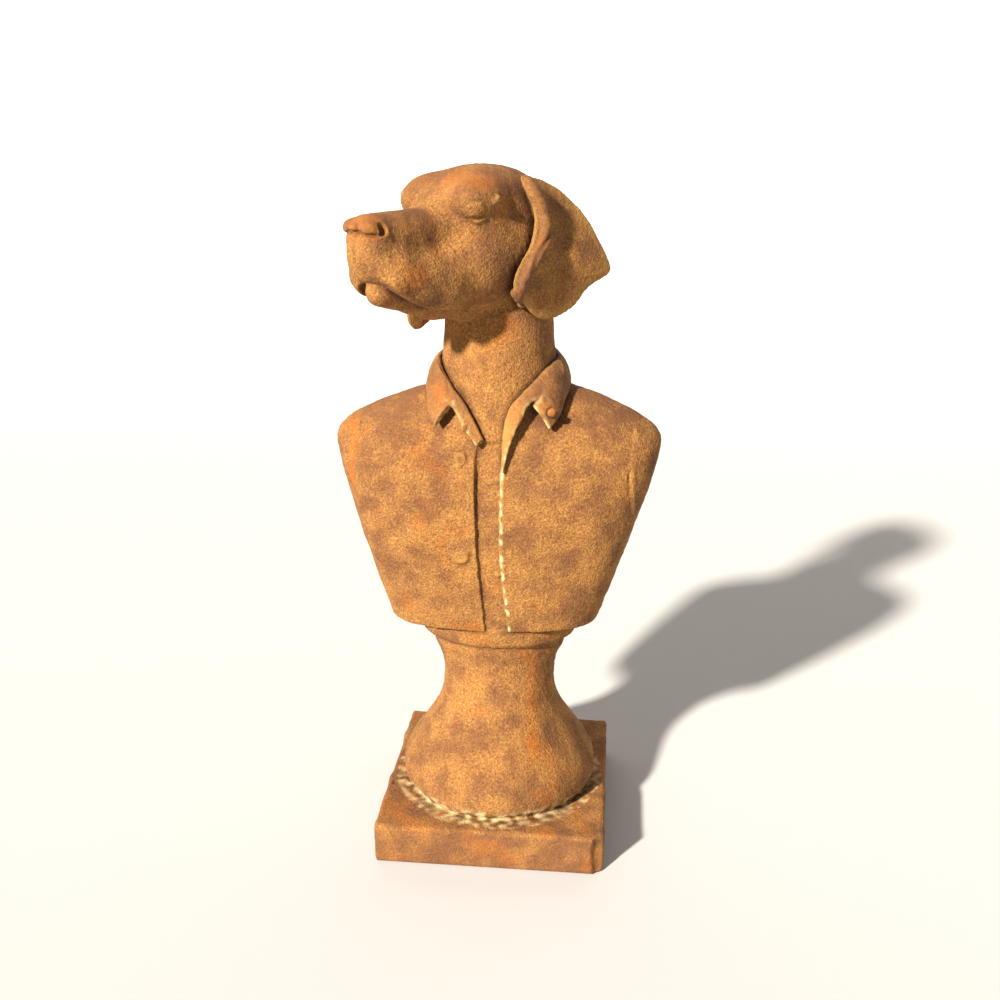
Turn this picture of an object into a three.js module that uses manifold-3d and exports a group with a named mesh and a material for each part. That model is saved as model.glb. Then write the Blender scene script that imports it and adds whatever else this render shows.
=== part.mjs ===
// A cast iron garden bust: a hound in an open-necked shirt on a waisted round socle and a square plinth.
// Units are millimetres. +Z is up, the shirt front faces -Y, and the origin is the centre of the underside.
// The whole work is one casting, so every form below is joined into a single closed solid.

import * as THREE from "three";
import { mergeVertices } from "three/addons/utils/BufferGeometryUtils.js";
import Module from "manifold-3d";

const wasm = await Module();
wasm.setup();

// ---------------------------------------------------------------- driving dimensions

const PLINTH = { side: 200, height: 38, edgeRound: 3, cornerRound: 4 };

// Socle profile as [radius, height]; it is round at the foot and flattened front to back at the top.
const SOCLE_PROFILE = [
  [80, 36], [84, 41], [88, 47], [88.5, 55], [84.5, 68], [76, 81], [65.5, 96], [57, 111], [52, 125],
  [50, 140], [50.5, 154], [53.5, 166], [58, 176], [62, 185], [66, 187], [69, 192], [71, 207],
];
const SOCLE_SIDES = 38;
const SOCLE_TOP_FLATTENING = 0.69;
const SOCLE_ROUND_BELOW = 95;
const SOCLE_FLAT_ABOVE = 182;

// Bust stations as [height, half width, sideways shift, chest depth, back depth, squareness in plan].
const BUST_STATIONS = [
  [180, 84, -4.0, 46, 46, 2.6],
  [204, 91.5, -3.6, 50, 50, 2.6],
  [240, 103, -2.8, 55, 53, 2.8],
  [270, 112, -2.4, 58, 55, 3.0],
  [300, 121, -1.6, 60, 57, 3.0],
  [325, 128.5, -0.8, 60, 57, 3.0],
  [345, 133.5, -0.8, 58.5, 57, 3.0],
  [365, 137, -0.8, 56, 55, 2.9],
  [385, 138.5, -0.8, 52, 51, 2.8],
  [415, 139, -0.8, 45, 46, 2.6],
];
const BUST_UNDERSIDE = 203.5;
const BUST_UNDERSIDE_TILT = 2;
const SHOULDER = { neckX: 58, neckZ: 411.5, lowerOnRight: 3.5, slope: 0.29, droop: 0.0022, topRadius: 36, edgeRound: 8 };

const NECK = { foot: [0, -3, 368], footRadius: 52, head: [0, 0, 500], headRadius: 42 };

// The head looks this far round from +X, which is 37 degrees off the shirt front towards -X.
const HEAD_TURN = THREE.MathUtils.degToRad(232.8);
const EYE = { forward: 61, side: 36, height: 557, radius: 14, bulge: 0.8, lidRing: 8.5, lidThickness: 1.6, lidSink: 1.1 };
const NOSTRIL = { forward: 144, side: 14, height: 547, radius: 4.2 };

const EAR_THICKNESS = 9;
const COLLAR_THICKNESS = 5.5;
const STRIP = { depthLeft: 5, depthLeftLow: 1.8, depthRight: 1.6, top: 377 };
// Two buttons on the upper shirt front, and three small ones on the strip that it has come away from.
const BUTTONS = [
  { x: -25.8, z: 360, halfWidth: 5.2, halfHeight: 6.6, stand: 1.8 },
  { x: -26, z: 276, halfWidth: 7, halfHeight: 7, stand: 1.8 },
  { x: -2.3, z: 370, halfWidth: 2.8, halfHeight: 2.8, stand: 1.6, sunk: 3.4 },
  { x: 4.1, z: 343.5, halfWidth: 3, halfHeight: 3, stand: 1.6, sunk: 2.2 },
  { x: 4.9, z: 260.5, halfWidth: 3, halfHeight: 3, stand: 1.6, sunk: 1.6 },
];
const BUTTON_SIDES = 12;
const SEAM_GRID = 1e4;
const MATERIAL = { color: 0x8a5426, roughness: 0.9, metalness: 0.35 };

// ---------------------------------------------------------------- distance fields

const clamp = THREE.MathUtils.clamp;
const lerp = THREE.MathUtils.lerp;
const smoothstep = THREE.MathUtils.smoothstep;
const v3 = (x, y, z) => new THREE.Vector3(x, y, z);

/** Blends two distances over the width k, so that the forms melt into each other. */
function blend(a, b, k) {
  const overlap = Math.max(k - Math.abs(a - b), 0) / k;
  return Math.min(a, b) - (overlap * overlap * k) / 4;
}

/** Takes the greater of two distances with a corner rounded over the width k. */
function roundedMax(a, b, k) {
  return -blend(-a, -b, k);
}

/** Distance from p to an ellipsoid with centre c and half axes r, both arrays. */
function ellipsoid(p, c, r) {
  const x = (p.x - c[0]) / r[0];
  const y = (p.y - c[1]) / r[1];
  const z = (p.z - c[2]) / r[2];
  const k0 = Math.hypot(x, y, z);
  const k1 = Math.hypot(x / r[0], y / r[1], z / r[2]);
  return k1 > 0 ? (k0 * (k0 - 1)) / k1 : -Math.min(...r);
}

/** Distance from p to a rounded limb that tapers from a (radius ra) to b (radius rb). */
function limb(p, a, b, ra, rb) {
  const axis = v3(b[0] - a[0], b[1] - a[1], b[2] - a[2]);
  const from = v3(p.x - a[0], p.y - a[1], p.z - a[2]);
  const t = clamp(from.dot(axis) / axis.lengthSq(), 0, 1);
  return from.addScaledVector(axis, -t).length() - lerp(ra, rb, t);
}

/** Reads a table of stations at one height: each row is [height, value, value, ...]. */
function stationAt(stations, height) {
  const last = stations.length - 1;
  let i = 0;
  while (i < last - 1 && stations[i + 1][0] < height) i += 1;
  const t = clamp((height - stations[i][0]) / (stations[i + 1][0] - stations[i][0]), 0, 1);
  return stations[i].map((value, column) => lerp(value, stations[i + 1][column], t));
}

/** The shirt bust: a squarish plan at each height, under sloping shoulders that roll over front to back. */
function bustField(p) {
  const [, halfWidth, shift, chest, back, squareness] = stationAt(BUST_STATIONS, p.z);
  const depth = p.y < 0 ? chest : back;
  const plan = (Math.abs((p.x - shift) / halfWidth) ** squareness + Math.abs(p.y / depth) ** squareness) ** (1 / squareness);
  const wall = (plan - 1) * Math.min(halfWidth, depth);
  const out = Math.max(Math.abs(p.x) - SHOULDER.neckX, -SHOULDER.neckX);
  const lowered = p.x < 0 ? SHOULDER.lowerOnRight * clamp(1 - out / 70, 0, 1) : 0;
  const ridge = SHOULDER.neckZ - lowered - SHOULDER.slope * out - SHOULDER.droop * Math.max(out, 0) ** 2;
  const roof = (p.z - ridge + (p.y * p.y) / (2 * SHOULDER.topRadius)) * 0.8;
  const floor = BUST_UNDERSIDE - 20 - p.z;
  return Math.max(roundedMax(wall, roof, SHOULDER.edgeRound), floor);
}

/** The neck, a column that spreads into the shirt. */
function neckField(p) {
  return limb(p, NECK.foot, NECK.head, NECK.footRadius, NECK.headRadius);
}

/** The head without ears, in its own frame: x forward, y to the hound's left, z up. */
function headField(p) {
  const m = v3(p.x, Math.abs(p.y), p.z);
  let d = ellipsoid(m, [10, 0, 536], [58, 45, 50]);
  d = blend(d, ellipsoid(m, [38, 0, 553], [37, 38, 31]), 14);
  d = blend(d, ellipsoid(m, [54, 27, 562], [20.5, 16.5, 16]), 14);
  d = blend(d, ellipsoid(m, [36, 25, 514], [44, 22, 30]), 18);
  d = blend(d, limb(m, [58, 0, 538], [129, 0, 539], 21, 17), 14);
  d = blend(d, ellipsoid(m, [124, 0, 525], [21.5, 20, 19]), 8);
  d = blend(d, limb(m, [122, 11.5, 512], [84, 14, 503], 19, 24.5), 10);
  d = blend(d, ellipsoid(m, [137.5, 0, 542.5], [12.5, 19, 12.5]), 5);
  d = blend(d, limb(m, [70, 0, 498], [10, 0, 492], 17, 28), 16);
  return d;
}

/** The lower jaw, tucked between the hanging lips. */
function jawField(p) {
  return blend(limb(p, [123, 2, 500], [74, 0, 491], 12.5, 18), limb(p, [80, 0, 491], [30, 0, 490], 16, 24), 10);
}

// ---------------------------------------------------------------- closed meshes and solids

/** Six times the volume that a mesh encloses; it is negative where the faces point inwards. */
function signedVolume(points, corners) {
  let sum = 0;
  for (let i = 0; i < corners.length; i += 3) {
    const [a, b, c] = [0, 1, 2].map((k) => new THREE.Vector3().fromArray(points, corners[i + k] * 3));
    sum += a.dot(b.cross(c));
  }
  return sum;
}

/** Turns a closed three.js geometry into a manifold solid with its faces pointing out. */
function solidOf(geometry) {
  const bare = geometry.clone();
  bare.deleteAttribute("normal");
  bare.deleteAttribute("uv");
  const merged = mergeVertices(bare, 1e-3);
  const points = Float32Array.from(merged.attributes.position.array);
  const corners = Uint32Array.from(merged.index.array);
  if (signedVolume(points, corners) < 0) corners.reverse();
  return new wasm.Manifold(new wasm.Mesh({ numProp: 3, vertProperties: points, triVerts: corners }));
}

/** Moves every vertex of a geometry by a function of its position; vertices that coincide stay together. */
function reshape(geometry, move) {
  const position = geometry.attributes.position;
  const places = new Map();
  for (let i = 0; i < position.count; i += 1) {
    const vertex = new THREE.Vector3().fromBufferAttribute(position, i);
    const key = vertex.toArray().map((value) => Math.round(value * SEAM_GRID)).join();
    if (!places.has(key)) places.set(key, move(vertex));
    position.setXYZ(i, ...places.get(key).toArray());
  }
  return geometry;
}

/** Follows a ray out of a form to the place where the field first turns positive. */
function surfaceAlong(field, origin, direction) {
  const step = 2.5;
  const reach = 260;
  let inside = 0;
  const at = (t) => field(v3().copy(origin).addScaledVector(direction, t));
  while (inside < reach && at(inside + step) < 0) inside += step;
  let outside = inside + step;
  for (let i = 0; i < 18; i += 1) {
    const middle = (inside + outside) / 2;
    if (at(middle) < 0) inside = middle;
    else outside = middle;
  }
  return v3().copy(origin).addScaledVector(direction, inside);
}

/** The direction in which a field grows fastest, which is the surface's outward normal. */
function slopeAt(field, p) {
  const reach = 2;
  const along = [v3(reach, 0, 0), v3(0, reach, 0), v3(0, 0, reach)];
  const change = along.map((step) => field(v3().addVectors(p, step)) - field(v3().subVectors(p, step)));
  return v3(...change).normalize();
}

/**
 * Wraps a sphere's vertices onto a field, from a straight spine that runs along the sphere's x axis.
 * The sphere's end caps become the form's ends, and its middle rings step along the spine.
 */
function wrap(field, { columns, rows, spine, caps = [0.3, 0.3], crown = 1, squash = [1, 1] }) {
  const [tail, nose] = spine.map((end) => v3(...end));
  const sphere = new THREE.SphereGeometry(1, columns, rows);
  sphere.rotateZ(-Math.PI / 2);
  const along = v3().subVectors(nose, tail).normalize();
  const across = v3(0, 1, 0).addScaledVector(along, -along.y).normalize();
  const side = Math.abs(along.z) > 0.9 ? v3(1, 0, 0) : across;
  const up = v3().crossVectors(along, side);
  return reshape(sphere, (vertex) => {
    const polar = Math.acos(clamp(vertex.x, -1, 1)) / Math.PI;
    const turn = Math.atan2(vertex.z, vertex.y);
    const [tailCap, noseCap] = caps;
    const nearNose = clamp(polar / noseCap, 0, 1);
    const nearTail = clamp((1 - polar) / tailCap, 0, 1);
    const t = clamp((1 - tailCap - polar) / (1 - tailCap - noseCap), 0, 1);
    const lean = Math.sin(((1 - nearNose) ** crown * Math.PI) / 2) - Math.cos((nearTail * Math.PI) / 2);
    const radial = Math.sqrt(Math.max(1 - lean * lean, 0));
    const direction = v3()
      .addScaledVector(along, lean)
      .addScaledVector(side, radial * Math.cos(turn) * squash[0])
      .addScaledVector(up, radial * Math.sin(turn) * squash[1])
      .normalize();
    return surfaceAlong(field, v3().lerpVectors(tail, nose, t), direction);
  });
}

/**
 * A thick ribbon between two edge curves: a subdivided box whose length runs along the curves,
 * whose width runs from one to the other, and whose thickness stands half each side of them.
 */
function ribbon(edgeA, edgeB, thickness, { lengthSteps, widthSteps, bow = 0, outward }) {
  const box = new THREE.BoxGeometry(1, 1, 1, lengthSteps, widthSteps, 1);
  return reshape(box, (vertex) => {
    const u = clamp(vertex.x + 0.5, 0, 1);
    const w = clamp(vertex.y + 0.5, 0, 1);
    const a = edgeA.getPoint(u);
    const b = edgeB.getPoint(u);
    const normal = outward(a, b, u);
    const round = 1 - 0.45 * Math.abs(2 * w - 1) ** 3;
    return a
      .lerp(b, w)
      .addScaledVector(normal, vertex.z * thickness * round + bow * 4 * w * (1 - w));
  });
}

const curveThrough = (points) => new THREE.CatmullRomCurve3(points.map((point) => v3(...point)));
const mirrored = (points) => points.map(([x, y, z]) => [-x, y, z]);

/** A rounded cord along a curve: a sphere stretched along it, with its own radius at each place. */
function cord(curve, radiusAt, { columns, rows, reference }) {
  const sphere = new THREE.SphereGeometry(1, columns, rows);
  sphere.rotateZ(-Math.PI / 2);
  return reshape(sphere, (vertex) => {
    const polar = Math.acos(clamp(vertex.x, -1, 1)) / Math.PI;
    const u = 1 - polar;
    const tangent = curve.getTangent(u);
    const side = v3().crossVectors(tangent, reference).normalize();
    const up = v3().crossVectors(tangent, side);
    const turn = Math.atan2(vertex.z, vertex.y);
    const radius = radiusAt(u) * Math.min(1, Math.sin(polar * Math.PI) * 2.2);
    return curve.getPoint(u)
      .addScaledVector(side, radius * Math.cos(turn))
      .addScaledVector(up, radius * Math.sin(turn));
  });
}

/** A button: a low disc with a rounded face, set upright on the chest. */
function button(field, { x, z, halfWidth, halfHeight, stand, sunk = 0 }) {
  const foot = surfaceAlong(field, v3(x, 0, z), v3(0, -1, 0));
  foot.y += sunk;
  const disc = new THREE.SphereGeometry(1, BUTTON_SIDES, 4);
  return reshape(disc, (vertex) => v3(
    x + vertex.x * halfWidth,
    foot.y + 0.5 + Math.sign(vertex.z) * Math.abs(vertex.z) ** 0.6 * (stand + 0.5),
    z + vertex.y * halfHeight,
  ));
}

// ---------------------------------------------------------------- socle and plinth

function plinthSolid() {
  const half = PLINTH.side / 2 - PLINTH.edgeRound;
  const r = PLINTH.cornerRound;
  const square = new THREE.Shape();
  square.moveTo(-half + r, -half);
  square.lineTo(half - r, -half);
  square.quadraticCurveTo(half, -half, half, -half + r);
  square.lineTo(half, half - r);
  square.quadraticCurveTo(half, half, half - r, half);
  square.lineTo(-half + r, half);
  square.quadraticCurveTo(-half, half, -half, half - r);
  square.lineTo(-half, -half + r);
  square.quadraticCurveTo(-half, -half, -half + r, -half);
  const slab = new THREE.ExtrudeGeometry(square, {
    depth: PLINTH.height - 2 * PLINTH.edgeRound,
    bevelEnabled: true,
    bevelThickness: PLINTH.edgeRound,
    bevelSize: PLINTH.edgeRound,
    bevelSegments: 2,
    curveSegments: 2,
  });
  slab.translate(0, 0, PLINTH.edgeRound);
  return solidOf(slab);
}

function socleSolid() {
  const profile = [v3(0, SOCLE_PROFILE[0][1]), ...SOCLE_PROFILE.map(([r, z]) => v3(r, z)), v3(0, SOCLE_PROFILE.at(-1)[1])];
  const lathe = new THREE.LatheGeometry(profile.map((p) => new THREE.Vector2(p.x, p.y)), SOCLE_SIDES);
  lathe.rotateX(Math.PI / 2);
  reshape(lathe, (vertex) => {
    const flat = smoothstep(vertex.z, SOCLE_ROUND_BELOW, SOCLE_FLAT_ABOVE);
    return v3(vertex.x, vertex.y * lerp(1, SOCLE_TOP_FLATTENING, flat), vertex.z);
  });
  return solidOf(lathe);
}

// ---------------------------------------------------------------- the shirt

function bustSolid() {
  const body = solidOf(wrap(bustField, { columns: 44, rows: 21, spine: [[0, 0, 200], [0, 0, 362]], caps: [0.1, 0.44], crown: 1.6, squash: [1, 0.45] }));
  const below = new THREE.BoxGeometry(400, 400, 80);
  reshape(below, (vertex) => v3(vertex.x, vertex.y, vertex.z - 40 + BUST_UNDERSIDE + (vertex.x / 200) * BUST_UNDERSIDE_TILT));
  return body.subtract(solidOf(below));
}

/** The cutter for the button strip, which lies back between the two shirt fronts. */
function stripCutter() {
  const heights = [STRIP.top, 366, 345, 315, 267, 218, 190];
  const leftEdge = [-12, -14, -14.3, -14.1, -12.2, -8, -6];
  const rightEdge = [10, 10, 7.5, 6.6, 7.4, 12, 14];
  const leftCurve = new THREE.CatmullRomCurve3(heights.map((z, i) => v3(leftEdge[i], 0, z)));
  const rightCurve = new THREE.CatmullRomCurve3(heights.map((z, i) => v3(rightEdge[i], 0, z)));
  const box = new THREE.BoxGeometry(1, 1, 1, 14, 2, 1);
  reshape(box, (vertex) => {
    const u = clamp(vertex.x + 0.5, 0, 1);
    const w = clamp(vertex.y + 0.5, 0, 1);
    const place = leftCurve.getPoint(u).lerp(rightCurve.getPoint(u), w);
    const chest = surfaceAlong(bustField, v3(place.x, 0, place.z), v3(0, -1, 0)).y;
    const deep = lerp(lerp(STRIP.depthLeft, STRIP.depthLeftLow, u), STRIP.depthRight, w);
    return v3(place.x, vertex.z > 0 ? chest + deep : chest - 12, place.z);
  });
  return solidOf(box);
}

function collarSolids() {
  const leafFold = [[30, -48, 405], [38, -39, 420], [46, -20, 431], [49, 2, 434], [42, 28, 436], [23, 43, 438], [0, 48, 439]];
  const leafEdge = [[46, -51, 385], [52, -43, 394], [56, -24, 403], [58, 2, 408], [50, 32, 409], [28, 49, 409], [0, 55, 409]];
  const bandInner = [[50, -14, 432], [38, -36, 425], [28, -43, 411], [17, -48, 393], [6, -53, 372]];
  const bandOuter = [[54, -22, 420], [45, -40, 410], [35, -46, 401], [24, -51, 387], [13, -57, 370]];
  const awayFromNeck = (a, b) => {
    const across = v3().subVectors(b, a);
    const radial = v3(a.x, a.y, 0).normalize();
    const tangent = v3(-radial.y, radial.x, 0);
    const normal = v3().crossVectors(across, tangent).normalize();
    return normal.dot(radial) < 0 ? normal.negate() : normal;
  };
  const options = { lengthSteps: 11, widthSteps: 3, bow: 2.5, outward: awayFromNeck };
  const pieces = [];
  for (const hand of [(points) => points, mirrored]) {
    pieces.push(ribbon(curveThrough(hand(leafFold)), curveThrough(hand(leafEdge)), COLLAR_THICKNESS, options));
    pieces.push(ribbon(curveThrough(hand(bandInner)), curveThrough(hand(bandOuter)), COLLAR_THICKNESS, { ...options, lengthSteps: 6 }));
  }
  return pieces.map(solidOf);
}

function buttonSolids() {
  return BUTTONS.map((place) => solidOf(button(bustField, place)));
}

// ---------------------------------------------------------------- the head

/** Signed copies of a geometry on both sides of the head. */
const bothSides = [-1, 1];

/**
 * One ear: a disc drawn out to the ear's outline, thickened, and hung along the side of the head.
 * The outline runs round in [forward, height, sideways] places.
 */
function earSolid(hand, outline, centre) {
  const rim = new THREE.CatmullRomCurve3(outline.map((point) => v3(...point)), true);
  const middle = v3(...centre);
  const disc = new THREE.SphereGeometry(1, 26, 8);
  disc.rotateX(Math.PI / 2);
  reshape(disc, (vertex) => {
    const angle = Math.atan2(vertex.y, vertex.x);
    const u = (angle / (2 * Math.PI) + 1) % 1;
    const edge = rim.getPoint(u);
    const reach = Math.hypot(vertex.x, vertex.y) ** 1.15;
    const face = vertex.z;
    const place = v3().lerpVectors(middle, edge, Math.min(reach, 1));
    const thick = (face * EAR_THICKNESS) / 2;
    return v3(place.x, hand * (place.y + thick), place.z);
  });
  const solid = solidOf(disc);
  return solid;
}

function headSolid() {
  let head = solidOf(wrap(headField, { columns: 34, rows: 33, spine: [[0, 0, 530], [112, 0, 525]], caps: [0.28, 0.28] }));
  const gape = new THREE.SphereGeometry(1, 18, 10);
  reshape(gape, (v) => v3(103 + v.x * 46, v.y * 19.5, 495 + v.x * 4 + v.z * 16));
  head = head.subtract(solidOf(gape));
  const jaw = wrap(jawField, { columns: 16, rows: 14, spine: [[45, 0, 489], [118, 0, 499]] });
  head = head.add(solidOf(jaw));
  for (const hand of bothSides) {
    const inside = v3(20, hand * 10, EYE.height);
    const eyeAt = surfaceAlong(headField, inside, v3(EYE.forward - inside.x, hand * EYE.side - inside.y, 0).normalize());
    const ball = new THREE.SphereGeometry(EYE.radius, 14, 10);
    ball.translate(eyeAt.x, eyeAt.y, eyeAt.z);
    const out = slopeAt(headField, eyeAt);
    ball.translate(...v3().addScaledVector(out, EYE.bulge - EYE.radius).toArray());
    const lid = new THREE.TorusGeometry(EYE.lidRing, EYE.lidThickness, 4, 14);
    lid.scale(1.1, 0.9, 1);
    lid.lookAt(out);
    lid.translate(...v3().copy(eyeAt).addScaledVector(out, -EYE.lidSink).toArray());
    head = head.add(solidOf(ball)).add(solidOf(lid));
    const nostril = new THREE.SphereGeometry(NOSTRIL.radius, 10, 8);
    nostril.scale(1.2, 1, 0.9);
    nostril.translate(NOSTRIL.forward, hand * NOSTRIL.side, NOSTRIL.height);
    head = head.subtract(solidOf(nostril));
  }
  return head;
}

// ---------------------------------------------------------------- the casting

let casting = plinthSolid().add(socleSolid());
casting = casting.add(bustSolid().subtract(stripCutter()));
casting = casting.add(solidOf(wrap(neckField, { columns: 24, rows: 7, spine: [[0, -2, 385], [0, 0, 500]] })));
for (const piece of [...collarSolids(), ...buttonSolids()]) casting = casting.add(piece);

const turn = [Math.cos(HEAD_TURN), Math.sin(HEAD_TURN)];
const turned = (solid) => solid.rotate([0, 0, THREE.MathUtils.radToDeg(HEAD_TURN)]);
casting = casting.add(turned(headSolid()));

const nearEar = earSolid(1, [
  [-55, 58, 528], [-50, 49, 545], [-37, 41, 560], [-20, 37, 571], [2, 37, 578], [20, 41, 578],
  [15, 47, 560], [15, 51, 545], [22, 53, 529], [34, 52, 515], [39, 51, 499], [28, 50, 487],
  [12, 50, 473], [-8, 52, 470], [-26, 56, 477], [-40, 60, 491], [-60, 67, 504],
], [-8, 53, 522]);
const farEar = earSolid(-1, [
  [-20, 44, 540], [-18, 42, 560], [-8, 38, 573], [4, 37, 579], [16, 40, 577], [24, 46, 560],
  [34, 52, 535], [44, 57, 505], [47, 60, 478], [44, 62, 460], [36, 62, 452], [26, 60, 456],
  [12, 57, 468], [-4, 54, 485], [-16, 50, 505],
], [14, 52, 520]);
const earRoll = solidOf(cord(curveThrough([
  [16, 41, 578], [11, 47, 566], [7, 51, 553], [6, 54, 542], [11, 56, 530], [21, 56, 518], [29, 54, 506], [32, 50, 494], [27, 45, 486],
]), (u) => 5.8 - 1.4 * u, { columns: 7, rows: 13, reference: v3(0, 1, 0) }));
casting = casting.add(turned(nearEar)).add(turned(earRoll)).add(turned(farEar));

/** Reads a manifold solid back into a three.js geometry. */
function geometryOf(solid) {
  const mesh = solid.getMesh();
  const geometry = new THREE.BufferGeometry();
  const positions = new Float32Array(mesh.numVert * 3);
  for (let i = 0; i < mesh.numVert; i += 1) {
    for (let axis = 0; axis < 3; axis += 1) positions[i * 3 + axis] = mesh.vertProperties[i * mesh.numProp + axis];
  }
  geometry.setAttribute("position", new THREE.BufferAttribute(positions, 3));
  geometry.setIndex([...mesh.triVerts]);
  geometry.computeVertexNormals();
  return geometry;
}

const iron = new THREE.MeshStandardMaterial(MATERIAL);
const bust = new THREE.Mesh(geometryOf(casting), iron);
bust.name = "dog_bust";

const group = new THREE.Group();
group.add(bust);

export default group;
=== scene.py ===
"""A weathered cast iron garden bust of a hound in an open-necked shirt.

The casting is modelled as clay is: simple forms are melted together, cut and scored as distance
fields in millimetres, and the skin of the result becomes a mesh. Four castings touch along their
natural seams: the pedestal, the shirt, its collar and the head. One rust finish covers them all.
"""

from __future__ import annotations

import logging
import math
from dataclasses import dataclass
from enum import Enum
from typing import Callable, Sequence

import bpy
import numpy as np
import openvdb
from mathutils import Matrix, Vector

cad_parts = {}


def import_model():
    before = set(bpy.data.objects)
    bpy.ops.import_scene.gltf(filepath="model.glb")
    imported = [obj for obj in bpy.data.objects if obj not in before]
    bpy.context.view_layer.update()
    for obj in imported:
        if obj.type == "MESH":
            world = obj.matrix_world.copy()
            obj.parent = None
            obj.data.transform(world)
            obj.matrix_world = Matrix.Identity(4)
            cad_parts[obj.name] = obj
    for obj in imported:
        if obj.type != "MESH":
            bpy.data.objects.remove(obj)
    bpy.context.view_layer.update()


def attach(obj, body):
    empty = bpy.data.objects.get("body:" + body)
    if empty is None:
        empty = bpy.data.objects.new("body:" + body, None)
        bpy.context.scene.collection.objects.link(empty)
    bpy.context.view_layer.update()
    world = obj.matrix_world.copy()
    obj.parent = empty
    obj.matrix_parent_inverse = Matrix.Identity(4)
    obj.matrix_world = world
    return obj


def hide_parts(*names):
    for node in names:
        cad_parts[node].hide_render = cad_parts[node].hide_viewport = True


MM = 0.001
MARGIN = 14.0  # how far round a form its distances are worked out
FAR = 60.0  # the distance kept where no form is near
CAD_NODE = "dog_bust"
LOG = logging.getLogger("hound")

Array = np.ndarray
Point = Sequence[float]
Axes = tuple[Array, Array, Array]
Form = Callable[[Axes], Array]

NECK_FOOT = (0, -3, 368)
NECK_TOP = (0, 0, 500)


# ---------------------------------------------------------------- shape arithmetic


def blend(a: Array, b: Array, width: float) -> Array:
    """Joins two distances so that the forms melt into each other.

    Args:
        a, b: Distances in millimetres.
        width: How far the melted corner reaches; 0 leaves it sharp.

    Returns:
        The distance to both forms together.
    """
    if width <= 0:
        return np.minimum(a, b)
    overlap = np.clip(width - np.abs(a - b), 0.0, None) / width
    return np.minimum(a, b) - overlap * overlap * (width / 4)


def rounded_max(a: Array, b: Array, width: float) -> Array:
    """Keeps only what is inside both forms, with the corner rounded over a width."""
    return -blend(-a, -b, width)


def smoothstep(value: Array, start: float, end: float) -> Array:
    """Rises softly from 0 at start to 1 at end."""
    t = np.clip((value - start) / (end - start), 0.0, 1.0)
    return t * t * (3 - 2 * t)


def smooth_read(rows: Sequence[Point], at: Array) -> list[Array]:
    """Reads a table of stations with a smooth curve through them.

    Args:
        rows: Each row is a place along the table, then the values there.
        at: Places to read, in the first column's unit.

    Returns:
        One array for each value column.
    """
    table = np.array(rows, dtype=float)
    places = table[:, 0]
    slopes = np.gradient(table[:, 1:], places, axis=0)
    at = np.clip(at, places[0], places[-1])
    i = np.clip(np.searchsorted(places, at, side="right") - 1, 0, len(places) - 2)
    width = places[i + 1] - places[i]
    t = (at - places[i]) / width
    columns = []
    for k in range(table.shape[1] - 1):
        start, end = table[i, k + 1], table[i + 1, k + 1]
        leave, arrive = slopes[i, k] * width, slopes[i + 1, k] * width
        columns.append(
            (2 * t**3 - 3 * t**2 + 1) * start
            + (t**3 - 2 * t**2 + t) * leave
            + (3 * t**2 - 2 * t**3) * end
            + (t**3 - t**2) * arrive
        )
    return columns


def through(points: Sequence[Point], count: int, closed: bool = False) -> Array:
    """Draws a smooth curve through points.

    Args:
        points: Places that the curve passes.
        count: How many places to return along it.
        closed: Whether the curve runs back to its start.

    Returns:
        An array of places, one row each.
    """
    p = np.array(points, dtype=float)
    if closed:
        p = np.vstack([p[-1], p, p[0], p[1]])
        spans = len(points)
    else:
        p = np.vstack([2 * p[0] - p[1], p, 2 * p[-1] - p[-2]])
        spans = len(points) - 1
    u = np.linspace(0, spans, count, endpoint=not closed)
    i = np.minimum(u.astype(int), spans - 1)
    t = (u - i)[:, None]
    a, b, c, d = p[i], p[i + 1], p[i + 2], p[i + 3]
    bend = 2 * a - 5 * b + 4 * c - d
    twist = 3 * b - a - 3 * c + d
    return 0.5 * (2 * b + (c - a) * t + bend * t**2 + twist * t**3)


def normalised(vectors: Array) -> Array:
    """Scales rows to a length of one."""
    return vectors / np.maximum(np.linalg.norm(vectors, axis=-1, keepdims=True), 1e-9)


# ---------------------------------------------------------------- closed rings for thin forms


def cord_rings(points: Sequence[Point], start: float, end: float, reference: Point) -> Array:
    """Closed rings of a rounded cord.

    Args:
        points: Places that its middle passes.
        start, end: Radius at its two ends.
        reference: A direction that the cord never runs along.

    Returns:
        Rings as an array of (ring, place round it, coordinate).
    """
    line = through(points, 72)
    u = np.linspace(0, 1, len(line))
    along = normalised(np.gradient(line, axis=0))
    side = normalised(np.cross(along, np.array(reference, dtype=float)))
    up = np.cross(along, side)
    ends = np.sqrt(np.clip(1 - np.abs(2 * u - 1) ** 8, 0, 1))
    radius = (start + (end - start) * u) * ends
    turn = np.linspace(0, 2 * math.pi, 20, endpoint=False)
    ring = side[:, None] * np.cos(turn)[None, :, None] + up[:, None] * np.sin(turn)[None, :, None]
    return line[:, None] + ring * radius[:, None, None]


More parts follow.
